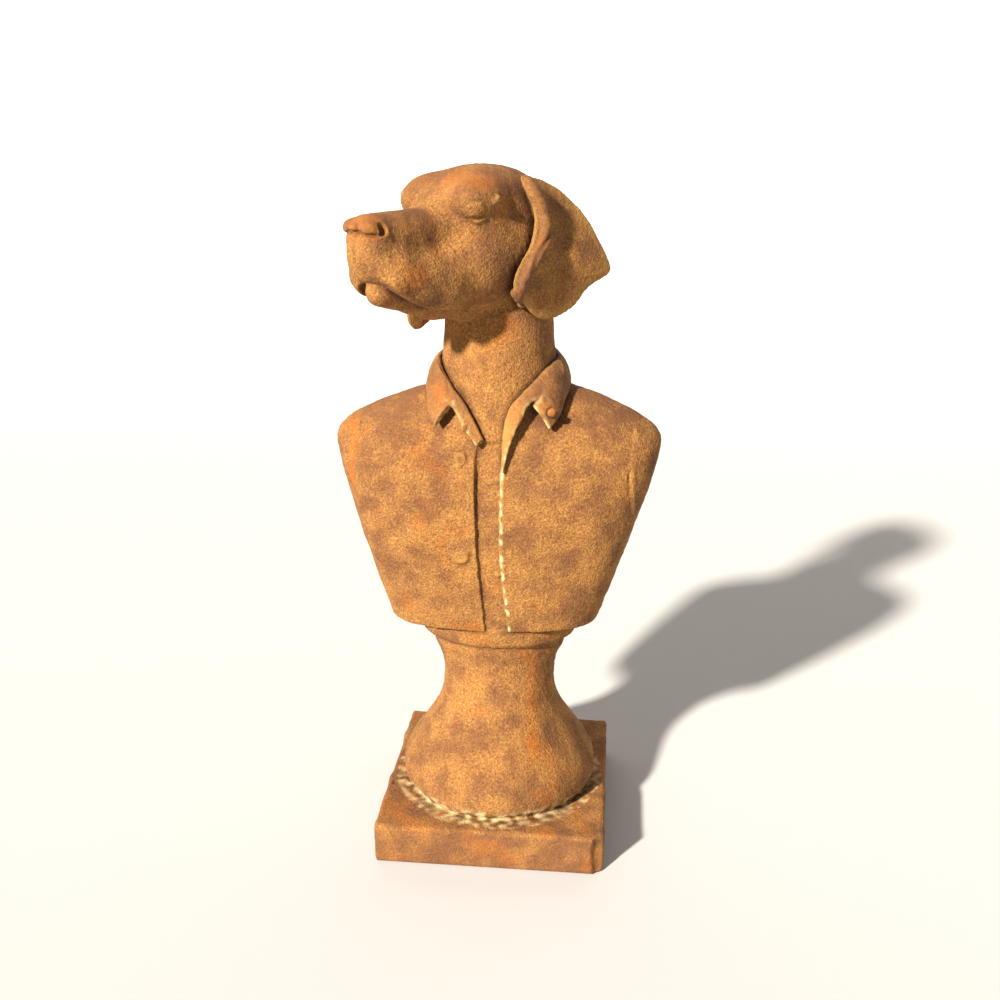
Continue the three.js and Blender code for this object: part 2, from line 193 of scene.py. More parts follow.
def leaf_rings(edge_a: Sequence[Point], edge_b: Sequence[Point], thickness: float, bow: float,
               square: float = 0.45) -> Array:
    """Closed rings of a leaf of cloth that lies round the neck between two edges.

    Args:
        edge_a, edge_b: Places that its two long edges pass.
        thickness: Thickness at its middle.
        bow: How far the middle of the leaf swells away from the neck.
        square: How square its section is: 1 is round and 0 is a box.

    Returns:
        Rings as an array of (ring, place round it, coordinate).
    """
    a, b = through(edge_a, 64), through(edge_b, 64)
    radial = normalised(a * (1, 1, 0))
    tangent = np.stack([-radial[:, 1], radial[:, 0], 0 * radial[:, 0]], axis=1)
    out = normalised(np.cross(b - a, tangent))
    out *= np.where(np.sum(out * radial, axis=1, keepdims=True) < 0, -1, 1)
    turn = np.linspace(0, 2 * math.pi, 40, endpoint=False)
    across = 0.5 + 0.5 * np.sign(np.cos(turn)) * np.abs(np.cos(turn)) ** square
    depth = np.sign(np.sin(turn)) * np.abs(np.sin(turn)) ** square * thickness / 2
    lift = depth + bow * 4 * across * (1 - across)
    rings = a[:, None] + (b - a)[:, None] * across[None, :, None] + out[:, None] * lift[None, :, None]
    return closed_ends(rings)


def closed_ends(rings: Array) -> Array:
    """Adds a ring drawn in to a point at each end."""
    first = np.broadcast_to(rings[0].mean(axis=0), rings[0].shape)
    last = np.broadcast_to(rings[-1].mean(axis=0), rings[-1].shape)
    return np.concatenate([first[None], rings, last[None]])


def disc_rings(outline: Sequence[Point], centre: Point, thickness: float, hand: int) -> Array:
    """Closed rings of an ear: a disc drawn out to an outline and thickened sideways.

    Args:
        outline: Places round its edge, as forward, sideways and height.
        centre: The middle of the disc.
        thickness: Thickness at the middle.
        hand: 1 for the hound's left side and -1 for its right.

    Returns:
        Rings as an array of (ring, place round it, coordinate).
    """
    edge = through(outline, 160, closed=True)
    polar = np.linspace(0, math.pi, 34)
    reach = np.sin(polar) ** 1.15
    middle = np.array(centre, dtype=float)
    rings = middle + (edge - middle)[None] * reach[:, None, None]
    rings[:, :, 1] += (np.cos(polar) * thickness / 2)[:, None]
    rings[:, :, 1] *= hand
    return rings


# ---------------------------------------------------------------- clay


@dataclass(frozen=True)
class Lattice:
    """An even grid of places in a box.

    Attributes:
        low, high: The box's corners in millimetres.
        pitch: Distance between places.
    """

    low: Point
    high: Point
    pitch: float

    @property
    def shape(self) -> tuple[int, int, int]:
        """How many places it has each way."""
        return tuple(int((h - l) / self.pitch) + 1 for l, h in zip(self.low, self.high))

    def lines(self) -> list[Array]:
        """The places along each axis."""
        return [l + self.pitch * np.arange(n) for l, n in zip(self.low, self.shape)]

    def block(self, low: Point, high: Point) -> tuple[tuple[slice, ...], Axes]:
        """Finds the part of the grid inside a box.

        Args:
            low, high: The box's corners.

        Returns:
            A slice for each axis, and the places along each as open axes.
        """
        spans, axes = [], []
        for axis, line in enumerate(self.lines()):
            first, last = np.searchsorted(line, [low[axis], high[axis]])
            span = slice(max(int(first) - 1, 0), min(int(last) + 1, len(line)))
            shape = [1, 1, 1]
            shape[axis] = span.stop - span.start
            spans.append(span)
            axes.append(line[span].reshape(shape).astype(np.float32))
        return tuple(spans), tuple(axes)


@dataclass(frozen=True)
class Lump:
    """An ellipsoid of clay.

    Attributes:
        centre: Its middle.
        half: Its half axes.
        melt: Width of its melted or rounded corner.
        both: Whether it is worked on both sides of the head, mirrored over y.
        climb: How far it climbs for each half axis forward.
    """

    centre: Point
    half: Point
    melt: float = 0.0
    both: bool = False
    climb: float = 0.0


@dataclass(frozen=True)
class Limb:
    """A rounded limb of clay that tapers from one place to another.

    Attributes:
        foot, tip: The two places.
        start, end: Its radius at each.
        melt: Width of its melted corner.
        both: Whether it is worked on both sides of the head, mirrored over y.
    """

    foot: Point
    tip: Point
    start: float
    end: float
    melt: float = 0.0
    both: bool = False


class Clay:
    """A body that forms are joined to, cut from and scored into.

    Args:
        lattice: Where its distances are kept.
    """

    def __init__(self, lattice: Lattice) -> None:
        """Starts with nothing worked."""
        self.lattice = lattice
        self.values = np.full(lattice.shape, FAR, dtype=np.float32)

    def work(self, form: Form, low: Point, high: Point, width: float = 0.0, cut: bool = False) -> None:
        """Joins a form inside a box, or cuts it away.

        Args:
            form: Gives distances from open axes.
            low, high: The form's own box; a margin is added.
            width: Width of the melted or rounded corner.
            cut: Cuts the form away where true.
        """
        low = [value - MARGIN - width for value in low]
        high = [value + MARGIN + width for value in high]
        spans, axes = self.lattice.block(low, high)
        if any(span.stop <= span.start for span in spans):
            return
        here = self.values[spans]
        there = form(axes)
        self.values[spans] = rounded_max(here, -there, width) if cut else blend(here, there, width)

    def lump(self, lump: Lump, cut: bool = False) -> None:
        """Joins an ellipsoid, or cuts it away.

        Args:
            lump: The ellipsoid.
            cut: Cuts it away where true.
        """
        centre, half, both, climb = lump.centre, lump.half, lump.both, lump.climb

        def form(axes: Axes) -> Array:
            """Distances to the ellipsoid."""
            x = (axes[0] - centre[0]) / half[0]
            y = ((np.abs(axes[1]) if both else axes[1]) - centre[1]) / half[1]
            z = (axes[2] - centre[2] - climb * x) / half[2]
            near = np.sqrt(x * x + y * y + z * z)
            steep = np.sqrt((x / half[0]) ** 2 + (y / half[1]) ** 2 + (z / half[2]) ** 2)
            return near * (near - 1) / np.maximum(steep, 1e-5)

        side = abs(centre[1]) + half[1]
        low = [centre[0] - half[0], centre[1] - half[1], centre[2] - half[2] - abs(climb)]
        high = [centre[0] + half[0], centre[1] + half[1], centre[2] + half[2] + abs(climb)]
        if both:
            low[1], high[1] = -side, side
        self.work(form, low, high, lump.melt, cut)

    def limb(self, limb: Limb) -> None:
        """Joins a tapering limb."""
        foot = np.array(limb.foot, dtype=np.float32)
        tip = np.array(limb.tip, dtype=np.float32)
        start, end, both = limb.start, limb.end, limb.both
        axis = tip - foot
        span = float(axis @ axis)

        def form(axes: Axes) -> Array:
            """Distances to the limb."""
            x, z = axes[0] - foot[0], axes[2] - foot[2]
            y = (np.abs(axes[1]) if both else axes[1]) - foot[1]
            t = np.clip((x * axis[0] + y * axis[1] + z * axis[2]) / span, 0, 1)
            away = (x - t * axis[0]) ** 2 + (y - t * axis[1]) ** 2 + (z - t * axis[2]) ** 2
            return np.sqrt(away) - (start + (end - start) * t)

        reach = max(start, end)
        low = np.minimum(foot, tip) - reach
        high = np.maximum(foot, tip) + reach
        if both:
            low[1] = -high[1]
        self.work(form, low, high, limb.melt)

    def rings(self, rings: Array, width: float = 0.0) -> None:
        """Joins a closed form that is given as rings.

        Args:
            rings: An array of (ring, place round it, coordinate).
            width: Width of the melted corner.
        """
        low, high = rings.min(axis=(0, 1)), rings.max(axis=(0, 1))
        pitch = self.lattice.pitch

        def form(axes: Axes) -> Array:
            """Distances to the rings' surface."""
            start = np.array([float(line.min()) for line in axes])
            count, around = rings.shape[:2]
            index = np.arange(count * around).reshape(count, around)
            turned = np.roll(index, -1, axis=1)
            quads = np.stack([index[:-1], turned[:-1], turned[1:], index[1:]], axis=-1).reshape(-1, 4)
            places = ((rings.reshape(-1, 3) - start) / pitch).astype(np.float32)
            grid = openvdb.FloatGrid.createLevelSetFromPolygons(
                places, quads=quads.astype(np.uint32), halfWidth=MARGIN / pitch
            )
            found = np.empty(tuple(line.size for line in axes), dtype=np.float32)
            grid.copyToArray(found)
            return found * pitch

        self.work(form, low, high, width)

    def score(self, points: Sequence[Point], depth: float, width: float, both: bool = False,
              fade: float = 0.25) -> None:
        """Draws a groove along a line, or a ridge where the depth is negative.

        Args:
            points: Places that the line passes.
            depth: Depth at its middle.
            width: Half its width.
            both: Draws it on both sides of the head.
            fade: Share of its length over which each end dies away.
        """
        line = through(points, max(12, 5 * len(points))).astype(np.float32)
        reach = 3 * width

        def form(axes: Axes) -> Array:
            """How deep the line goes at each place."""
            x, y, z = axes[0], np.abs(axes[1]) if both else axes[1], axes[2]
            nearest, strength = None, None
            for i in range(len(line) - 1):
                a, axis = line[i], line[i + 1] - line[i]
                dx, dy, dz = x - a[0], y - a[1], z - a[2]
                t = (dx * axis[0] + dy * axis[1] + dz * axis[2]) / float(axis @ axis)
                t = np.clip(t, 0, 1)
                gap = (dx - t * axis[0]) ** 2 + (dy - t * axis[1]) ** 2 + (dz - t * axis[2]) ** 2
                u = (i + t) / (len(line) - 1)
                if nearest is None:
                    nearest, strength = gap, u
                else:
                    strength = np.where(gap < nearest, u, strength)
                    nearest = np.minimum(gap, nearest)
            ends = 1.0
            if fade > 0:
                ends = smoothstep(strength, 0, fade) * smoothstep(1 - strength, 0, fade)
            return depth * ends * np.exp(-nearest / (width * width))

        low, high = line.min(axis=0) - reach, line.max(axis=0) + reach
        if both:
            low[1] = -high[1]
        spans, axes = self.lattice.block(low, high)
        self.values[spans] += form(axes)

    def swell(self, centre: Point, half: Point, height: float) -> None:
        """Raises a soft swelling, or presses a soft hollow where the height is negative.

        Args:
            centre: Its middle.
            half: How far it spreads each way.
            height: Its height at the middle.
        """
        reach = 2.6
        low = [c - reach * h for c, h in zip(centre, half)]
        high = [c + reach * h for c, h in zip(centre, half)]
        spans, axes = self.lattice.block(low, high)
        x, y, z = ((line - c) / h for line, c, h in zip(axes, centre, half))
        self.values[spans] -= height * np.exp(-(x * x + y * y + z * z))

    def at(self, places: Array) -> Array:
        """Distances at any places, read between the grid's own."""
        local = (places - np.array(self.lattice.low)) / self.lattice.pitch
        top = np.array(self.values.shape) - 1.001
        beyond = np.any((local < 0) | (local > top), axis=1)
        local = np.clip(local, 0, top)
        cell = local.astype(int)
        f = local - cell
        total = np.zeros(len(places))
        for corner in range(8):
            step = np.array([(corner >> k) & 1 for k in range(3)])
            weight = np.prod(np.where(step, f, 1 - f), axis=1)
            i = cell + step
            total += weight * self.values[i[:, 0], i[:, 1], i[:, 2]]
        return np.where(beyond, FAR, total)

    def outward(self, places: Array, reach: float = 1.0) -> Array:
        """The outward direction at places."""
        steps = np.eye(3) * reach
        return normalised(np.stack([self.at(places + s) - self.at(places - s) for s in steps], axis=1))

    def skin(self) -> tuple[Array, Array]:
        """The surface as vertices in millimetres and quads with outward normals."""
        grid = openvdb.FloatGrid(FAR)
        grid.copyFromArray(self.values / self.lattice.pitch)
        points, quads = grid.convertToQuads(0.0)
        return points * self.lattice.pitch + np.array(self.lattice.low), quads


def waves(places: Array, length: float, seed: int, count: int = 26) -> Array:
    """An even random swell.

    Args:
        places: Where to read it.
        length: Typical distance between two crests.
        seed: Chooses the swell.
        count: How many plain waves it is made of.

    Returns:
        Values round 0 with a spread of about 1.
    """
    rng = np.random.default_rng(seed)
    heading = normalised(rng.normal(size=(count, 3)))
    pace = 2 * math.pi / length * rng.uniform(0.6, 1.5, size=count)
    phase = rng.uniform(0, 2 * math.pi, size=count)
    total = np.zeros(len(places))
    for k in range(count):
        total += np.cos(places @ (heading[k] * pace[k]) + phase[k])
    return total * math.sqrt(2 / count)


# ---------------------------------------------------------------- finish


class Tint(Enum):
    """Colours of the rust, as linear red, green and blue; the deepest also paints shade into creases."""

    # dark of the grain's pits, and also the colour of the painted shade in creases
    DEEP_PITS_AND_SHADE = (0.045, 0.017, 0.006)
    BROWN = (0.170, 0.068, 0.024)
    OCHRE = (0.285, 0.122, 0.032)
    BRIGHT = (0.46, 0.240, 0.058)
    ORANGE = (0.36, 0.105, 0.013)
    POWDER = (0.66, 0.500, 0.240)
    FLOOR = (0.50, 0.495, 0.485)


class Value:
    """A shader output that takes ordinary arithmetic.

    Args:
        finish: The finish that new nodes are added to.
        socket: The node output that it stands for.
    """

    def __init__(self, finish: "Finish", socket: bpy.types.NodeSocket) -> None:
        """Wraps a socket."""
        self.finish = finish
        self.socket = socket

    def _math(self, operation: str, first: object, second: object, clamp: bool = False) -> "Value":
        """Adds one Math node."""
        settings = {"operation": operation, "use_clamp": clamp}
        return self.finish.node("ShaderNodeMath", settings, {0: first, 1: second})

    def __add__(self, other: object) -> "Value":
        """Adds."""
        return self._math("ADD", self, other)

    def __radd__(self, other: object) -> "Value":
        """Adds to a plain number."""
        return self._math("ADD", other, self)

    def __sub__(self, other: object) -> "Value":
        """Subtracts."""
        return self._math("SUBTRACT", self, other)

    def __rsub__(self, other: object) -> "Value":
        """Subtracts from a plain number."""
        return self._math("SUBTRACT", other, self)

    def __mul__(self, other: object) -> "Value":
        """Multiplies."""
        return self._math("MULTIPLY", self, other)

    def __rmul__(self, other: object) -> "Value":
        """Multiplies a plain number."""
        return self._math("MULTIPLY", other, self)

    def clipped(self) -> "Value":
        """The value held between 0 and 1."""
        return self._math("ADD", self, 0.0, clamp=True)

    def ramp(self, start: float, end: float) -> "Value":
        """Rises softly from 0 at start to 1 at end, and falls where end is the lesser."""
        settings = {"interpolation_type": "SMOOTHSTEP"}
        first, last = (0.0, 1.0) if end >= start else (1.0, 0.0)
        inputs = {0: self, 1: min(start, end), 2: max(start, end), 3: first, 4: last}
        return self.finish.node("ShaderNodeMapRange", settings, inputs)


class Finish:
    """A material that is built up node by node.

    Args:
        name: The material's name.
    """

    def __init__(self, name: str) -> None:
        """Starts with a bare Principled surface."""
        self.material = bpy.data.materials.new(name)
        self.material.use_nodes = True
        self.tree = self.material.node_tree
        self.tree.nodes.clear()
        self.surface = self.tree.nodes.new("ShaderNodeBsdfPrincipled")
        output = self.tree.nodes.new("ShaderNodeOutputMaterial")
        self.tree.links.new(self.surface.outputs[0], output.inputs[0])
        place = self.tree.nodes.new("ShaderNodeTexCoord")
        self.place = Value(self, place.outputs["Object"])

    def node(self, kind: str, settings: dict, inputs: dict, output: int | str = 0) -> Value:
        """Adds a node.

        Args:
            kind: Its type.
            settings: Its properties.
            inputs: Values or links for its sockets, by number or name.
            output: The socket to return.

        Returns:
            The chosen output.
        """
        made = self.tree.nodes.new(kind)
        for name, value in settings.items():
            setattr(made, name, value)
        for key, value in inputs.items():
            self.feed(made.inputs[key], value)
        return Value(self, made.outputs[output])

    def feed(self, socket: bpy.types.NodeSocket, value: object) -> None:
        """Links a value to a socket, or sets it as a constant."""
        if isinstance(value, Value):
            self.tree.links.new(value.socket, socket)
        elif isinstance(value, Tint):
            socket.default_value = (*value.value, 1.0)
        else:
            socket.default_value = value

    def noise(self, size: float, detail: float = 2.0, rough: float = 0.5, shift: float = 0.0) -> Value:
        """Adds cloudy noise.

        Args:
            size: About the size of one patch in millimetres.
            detail, rough: How much finer noise it carries.
            shift: Moves the pattern, so that two noises of one size differ.

        Returns:
            The noise, about 0.5 at its middle.
        """
        place = self.place
        if shift:
            offset = (shift, -shift, shift)
            place = self.node("ShaderNodeVectorMath", {"operation": "ADD"}, {0: place, 1: offset})
        return self.node(
            "ShaderNodeTexNoise",
            {"noise_dimensions": "3D"},
            {"Vector": place, "Scale": 1.0 / (size * MM), "Detail": detail, "Roughness": rough},
        )

    def mix(self, factor: object, a: object, b: object) -> Value:
        """Mixes two colours."""
        return self.node("ShaderNodeMix", {"data_type": "RGBA"}, {0: factor, 6: a, 7: b}, output=2)

    def attribute(self, name: str) -> Value:
        """A value that the mesh carries."""
        return self.node("ShaderNodeAttribute", {"attribute_name": name}, {}, output="Fac")

    def set(self, **sockets: object) -> None:
        """Feeds the surface's own sockets; underscores stand for spaces."""
        for name, value in sockets.items():
            self.feed(self.surface.inputs[name.replace("_", " ")], value)


@dataclass(frozen=True)
class Rust:
    """Dry ochre rust with a sugary sand-cast grain, and painted shade in the creases.

    Attributes:
        grain: Size of one grain in millimetres.
        patch: Size of the bright and brown patches.
        cloud: Size of the broad changes of tone.
        orange: Size of the orange patches.
        relief: Height of the grain.
        sheen: Strength of the surface's reflection.
    """

    grain: float = 1.7
    patch: float = 22.0
    cloud: float = 80.0
    orange: float = 34.0
    relief: float = 1.0
    sheen: float = 0.28

    def build(self) -> bpy.types.Material:
        """Makes the material.

        Returns:
            The finished material.
        """
        finish = Finish("rusty_cast_iron")
        # painted shade in creases and where pieces meet, measured in Casting.creases
        painted_crevice_shade = finish.attribute("painted_crevice_shade")
        powder = finish.attribute("powder")
        smooth = finish.attribute("smooth_skin")
        streak = finish.attribute("orange_streak")
        ridge = finish.attribute("standing_edge")

        grains = finish.noise(self.grain, detail=1.5, rough=0.6)
        fine = finish.noise(self.grain * 0.45, detail=1.0, rough=0.5, shift=0.31)
        patches = finish.noise(self.patch, detail=3.0, rough=0.55, shift=0.17)
        clouds = finish.noise(self.cloud, detail=2.0, rough=0.5, shift=0.53)

        tone = (patches * 0.7 + clouds * 0.3 - smooth * 0.10).ramp(0.36, 0.62)
        base = finish.mix(tone, Tint.BROWN, Tint.OCHRE)
        orange = finish.noise(self.orange, detail=2.0, rough=0.5, shift=0.71).ramp(0.58, 0.72)
        base = finish.mix((orange * 0.45 + streak * 0.85).clipped(), base, Tint.ORANGE)

        speckle = (grains * 0.7 + fine * 0.3).ramp(0.48, 0.66)
        lively = (tone * 0.6 + 0.25) * (1.0 - smooth * 0.6)
        base = finish.mix((speckle * lively).clipped(), base, Tint.BRIGHT)
        pits = (grains * 0.65 + fine * 0.35).ramp(0.45, 0.33)
        base = finish.mix((pits * (0.62 - smooth * 0.35)).clipped(), base, Tint.DEEP_PITS_AND_SHADE)

        # lightens the colour towards BRIGHT along edges that stand out
        base = finish.mix((ridge * 0.5).clipped(), base, Tint.BRIGHT)
        # painted shade: the colour darkens in creases and where pieces meet
        base = finish.mix((painted_crevice_shade * 0.8).clipped(), base, Tint.DEEP_PITS_AND_SHADE)
        dust = (powder * (grains * 0.9 + 0.55)).clipped()
        base = finish.mix(dust, base, Tint.POWDER)

        height = grains * (1.0 - smooth * 0.5) + fine * 0.35 + patches * 0.6
        bump = finish.node(
            "ShaderNodeBump", {}, {"Strength": 1.0, "Distance": self.relief * MM, "Height": height}
        )
        rough = 0.93 - pits * 0.1 - smooth * 0.12
        finish.set(Base_Color=base, Roughness=rough, Metallic=0.0, Normal=bump)
        finish.set(Specular_IOR_Level=self.sheen)
        return finish.material


# ---------------------------------------------------------------- castings


@dataclass(frozen=True)
class Skin:
    """How a casting's surface is meshed and roughened.

    Attributes:
        pitch: Spacing of the surface's places in millimetres.
        triangles: The most triangles that the piece may have.
        swell, swell_length: Height and length of the slow unevenness of the sand mould.
        ripple, ripple_length: Height and length of its quick unevenness.
    """

    pitch: float
    triangles: int = 195000
    swell: float = 0.22
    swell_length: float = 26
    ripple: float = 0.10
    ripple_length: float = 7


class Casting:
    """A piece of the statue that is modelled in clay and cast in rusty iron.

    Args:
        name: The piece's name.
        lattice: Where its clay is kept.
        skin: How its surface is made.
        turn: Angle in radians from the piece's own frame to the statue's.
    """

    def __init__(self, name: str, lattice: Lattice, skin: Skin, turn: float = 0.0) -> None:
        """Lays out clay for the piece."""
        self.name = name
        self.clay = Clay(lattice)
        self.skin = skin
        self.turn = turn

    def model(self) -> None:
        """Works the clay into the piece's form."""
        raise NotImplementedError

    def dress(self, places: Array) -> dict[str, Array]:
        """Gives the places' own finish values, by attribute name."""
        raise NotImplementedError

    def levelled(self, places: Array, before: Array) -> Array:
        """Puts places back that the roughening mustn't move."""
        return places

    def placed(self, places: Array, back: bool = False) -> Array:
        """Turns places from the piece's own frame to the statue's, or back."""
        c, s = math.cos(self.turn), math.sin(self.turn) * (-1 if back else 1)
        x, y, z = places.T
        return np.stack([x * c - y * s, x * s + y * c, z], axis=1)

    def cast(self, material: bpy.types.Material, pieces: Sequence["Casting"]) -> bpy.types.Object:
        """Makes the modelled piece's mesh.

        Args:
            material: The finish that covers it.
            pieces: Every casting, this one included, whose clay may shade it.

        Returns:
            The finished object.
        """
        points, quads = self.clay.skin()
        mesh = bpy.data.meshes.new(self.name)
        fill_mesh(mesh, points, quads)
        piece = bpy.data.objects.new(self.name, mesh)
        bpy.context.collection.objects.link(piece)
        self.thin(piece, 2 * len(quads))
        mesh = piece.data
        flat = np.empty(len(mesh.vertices) * 3, dtype=np.float32)
        mesh.vertices.foreach_get("co", flat)
        places = flat.reshape(-1, 3).astype(float)
        outward = self.clay.outward(places, self.skin.pitch)
        values = self.creases(places, outward, pieces)
        values.update(self.dress(places))
        real = self.placed(places)
        skin = self.skin
        lift = skin.swell * waves(real, skin.swell_length, 11)
        lift = lift + skin.ripple * waves(real, skin.ripple_length, 12)
        moved = self.placed(self.levelled(places + outward * lift[:, None], places))
        mesh.vertices.foreach_set("co", (moved * MM).astype(np.float32).ravel())
        for name, value in values.items():
            kept = mesh.attributes.new(name, "FLOAT", "POINT")
            kept.data.foreach_set("value", value.astype(np.float32))
        mesh.materials.append(material)
        mesh.polygons.foreach_set("use_smooth", np.ones(len(mesh.polygons), dtype=bool))
        mesh.update()
        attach(piece, "root")
        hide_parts(CAD_NODE)
        return piece

    def thin(self, piece: bpy.types.Object, triangles: int) -> None:
        """Takes triangles away where the surface is plain.

        Args:
            piece: The piece to thin.
            triangles: How many it has.
        """
        if triangles <= self.skin.triangles:
            return
        modifier = piece.modifiers.new("thin", "DECIMATE")
        modifier.ratio = self.skin.triangles / triangles
        bpy.ops.object.select_all(action="DESELECT")
        bpy.context.view_layer.objects.active = piece
        piece.select_set(True)
        bpy.ops.object.modifier_apply(modifier="thin")

    def creases(self, places: Array, outward: Array, pieces: Sequence["Casting"]) -> dict[str, Array]:
        """Measures how deep each place lies in a crease, for painted shade, and how far it stands out on
        an edge.

        Args:
            places, outward: The surface's places and their outward directions.
            pieces: Every casting whose clay may come near.

        Returns:
            The two measures, by attribute name.
        """

        def clear(offset: float) -> Array:
            """The room left at a distance off the surface."""
            real = self.placed(places + outward * offset)
            return np.min([other.clay.at(other.placed(real, back=True)) for other in pieces], axis=0)

        near, far, step = 2.5, 7.0, 0.6
        above, below = self.clay.at(places + outward * step), self.clay.at(places - outward * step)
        steep = (above - below) / (2 * step)
        steep = np.clip(steep, 0.5, 1.5)
        tight = 1 - clear(near) / (near * steep)
        broad = 1 - clear(far) / (far * steep)
        inner = 1 + self.clay.at(places - outward * near) / (near * steep)
        # painted shade: darker the more a place is closed in by this piece or the others
        painted_crevice_shade = np.clip(tight * 1.5, 0, 1) * 0.6 + np.clip(broad * 1.1, 0, 1) * 0.4
        # how far an edge stands out; the colour is lightened there
        edge = np.clip(inner * 1.6 - 0.12, 0, 1)
        return {"painted_crevice_shade": np.clip(painted_crevice_shade - 0.06, 0, 1), "standing_edge": edge}


def fill_mesh(mesh: bpy.types.Mesh, points: Array, quads: Array) -> None:
    """Puts vertices and quads into an empty mesh.

    Args:
        mesh: The mesh to fill.
        points: The vertices.
        quads: Each quad's vertices, running inward, so that they are laid the other way.
    """
    count = len(quads)
    mesh.vertices.add(len(points))
    mesh.vertices.foreach_set("co", points.astype(np.float32).ravel())
    mesh.loops.add(4 * count)
    mesh.loops.foreach_set("vertex_index", quads[:, ::-1].astype(np.int32).ravel())
    mesh.polygons.add(count)
    mesh.polygons.foreach_set("loop_start", np.arange(0, 4 * count, 4, dtype=np.int32))
    mesh.update(calc_edges=True)
    mesh.validate()


@dataclass(frozen=True)
class PedestalSizes:
    """Sizes of the pedestal, in millimetres.

    Attributes:
        half: Half the plinth's side.
        height: The plinth's height.
        edge: Radius of its worn edges.
        profile: The socle's heights and radii.
        flattening: Share of its depth that the socle keeps at the top.
        round_below, flat_above: Heights between which it flattens.
        socle_foot, socle_top: Heights between which the socle is worked.
        corner_chip: The broken corner at the front right.
        rim_bump: Middle and spread of a swelling on the left rim.
        rim_pit: A pit beside it.
        crust_height: Height of the crust round the socle's foot.
        run: Where the orange run goes down the socle's right side.
    """

    half: float = 100.0
    height: float = 38.0
    edge: float = 3.2
    profile: tuple = (
        (34, 80), (36, 80), (41, 84), (47, 88), (55, 88.5), (68, 84.5), (81, 76), (96, 65.5),
        (111, 57), (125, 52), (140, 50), (154, 50.5), (166, 53.5), (176, 58), (185, 62), (187, 66),
        (192, 69), (207, 71),
    )
    flattening: float = 0.69
    round_below: float = 95.0
    flat_above: float = 182.0
    socle_foot: float = 30
    socle_top: float = 207
    corner_chip: Lump = Lump((99, -101, 20), (9, 8, 30), 3)
    rim_bump: tuple = ((-99, -22, 36), (7, 9, 4))
    rim_pit: Lump = Lump((-93.8, -33, 38.5), (3.2, 3.6, 2.4), 1)
    crust_height: float = 43
    run: float = 35


class Pedestal(Casting):
    """The square plinth and the waisted round socle on it."""

    def __init__(self, sizes: PedestalSizes, skin: Skin) -> None:
        """Lays out clay round the pedestal."""
        super().__init__("pedestal", Lattice((-112, -112, -8), (112, 112, 216), skin.pitch), skin)
        self.sizes = sizes

    def model(self) -> None:
        """Works the plinth, then the socle, then the damage to the rim."""
        self.clay.work(self.plinth, (-104, -104, 0), (104, 104, 44))
        self.clay.work(self.socle, (-92, -92, 30), (92, 92, 208), width=3.0)
        self.clay.lump(self.sizes.corner_chip, cut=True)
        self.clay.swell(*self.sizes.rim_bump, 1.6)
        self.clay.lump(self.sizes.rim_pit, cut=True)

    def plinth(self, axes: Axes) -> Array:
        """A slab with worn edges."""
        s = self.sizes
        slow = 0.9 * np.sin(axes[0] / 17 + 1.2) * np.cos(axes[1] / 21)
        uneven = slow + 0.6 * np.sin(axes[0] / 7 - axes[1] / 9)
        x = np.abs(axes[0]) - (s.half - s.edge)
        y = np.abs(axes[1]) - (s.half - s.edge)
        z = np.abs(axes[2] - s.height / 2) - (s.height / 2 - s.edge)
        over = [np.clip(value, 0, None) for value in (x, y, z)]
        outside = np.sqrt(over[0] ** 2 + over[1] ** 2 + over[2] ** 2)
        inside = np.minimum(np.maximum(np.maximum(x, y), z), 0)
        return outside + inside - s.edge + uneven * 0.35 * smoothstep(axes[2], 4, 30)

    def socle(self, axes: Axes) -> Array:
        """The turned socle, flattened front to back as it rises."""
        s = self.sizes
        (radius,) = smooth_read(s.profile, axes[2].ravel())
        radius = radius.reshape(axes[2].shape)
        lean = np.gradient(radius.ravel(), axes[2].ravel()).reshape(radius.shape)
        flat = 1 + (s.flattening - 1) * smoothstep(axes[2], s.round_below, s.flat_above)
        reach = np.sqrt(axes[0] ** 2 + (axes[1] / flat) ** 2) - radius
        side = reach / np.sqrt(1 + np.clip(lean, -2, 2) ** 2)
        return np.maximum(np.maximum(side, axes[2] - s.socle_top), s.socle_foot - axes[2])

    def dress(self, places: Array) -> dict[str, Array]:
        """Crust round the socle's foot, a smooth front edge and an orange run down the right side."""
        x, y, z = places.T
        radius = np.hypot(x, y)
        foot = np.exp(-((z - self.sizes.crust_height) / 5) ** 2) * (radius < 96)
        crust = np.clip(foot * (0.55 + 0.6 * waves(places, 9, 31)), 0, 1)
        run = np.exp(-((x - self.sizes.run - 3 * np.sin(z / 30)) / 4.5) ** 2) * (y < 0)
        run *= smoothstep(z, 70, 100) * smoothstep(190 - z, 0, 20)
        top = smoothstep(z, 34, 37.5) * (z < 42)
        stain = top * smoothstep(waves(places, 42, 32), 0.2, 1.0) * (y < 30)
        return {
            "powder": crust,
            "orange_streak": np.clip(run * 0.7 + stain * 0.5, 0, 1),
            "smooth_skin": np.clip(0.35 * (z < 34) + 0.2 * (z < 42), 0, 1),
        }

    def levelled(self, places: Array, before: Array) -> Array:
        """Keeps the underside flat and the sides inside the plinth's box near the ground."""
        share = smoothstep(before[:, 2], 0.5, 5.0)[:, None]
        kept = before + (places - before) * share
        kept[:, 2] = np.where(before[:, 2] < 0.7, 0.0, np.maximum(kept[:, 2], 0.0))
        return kept


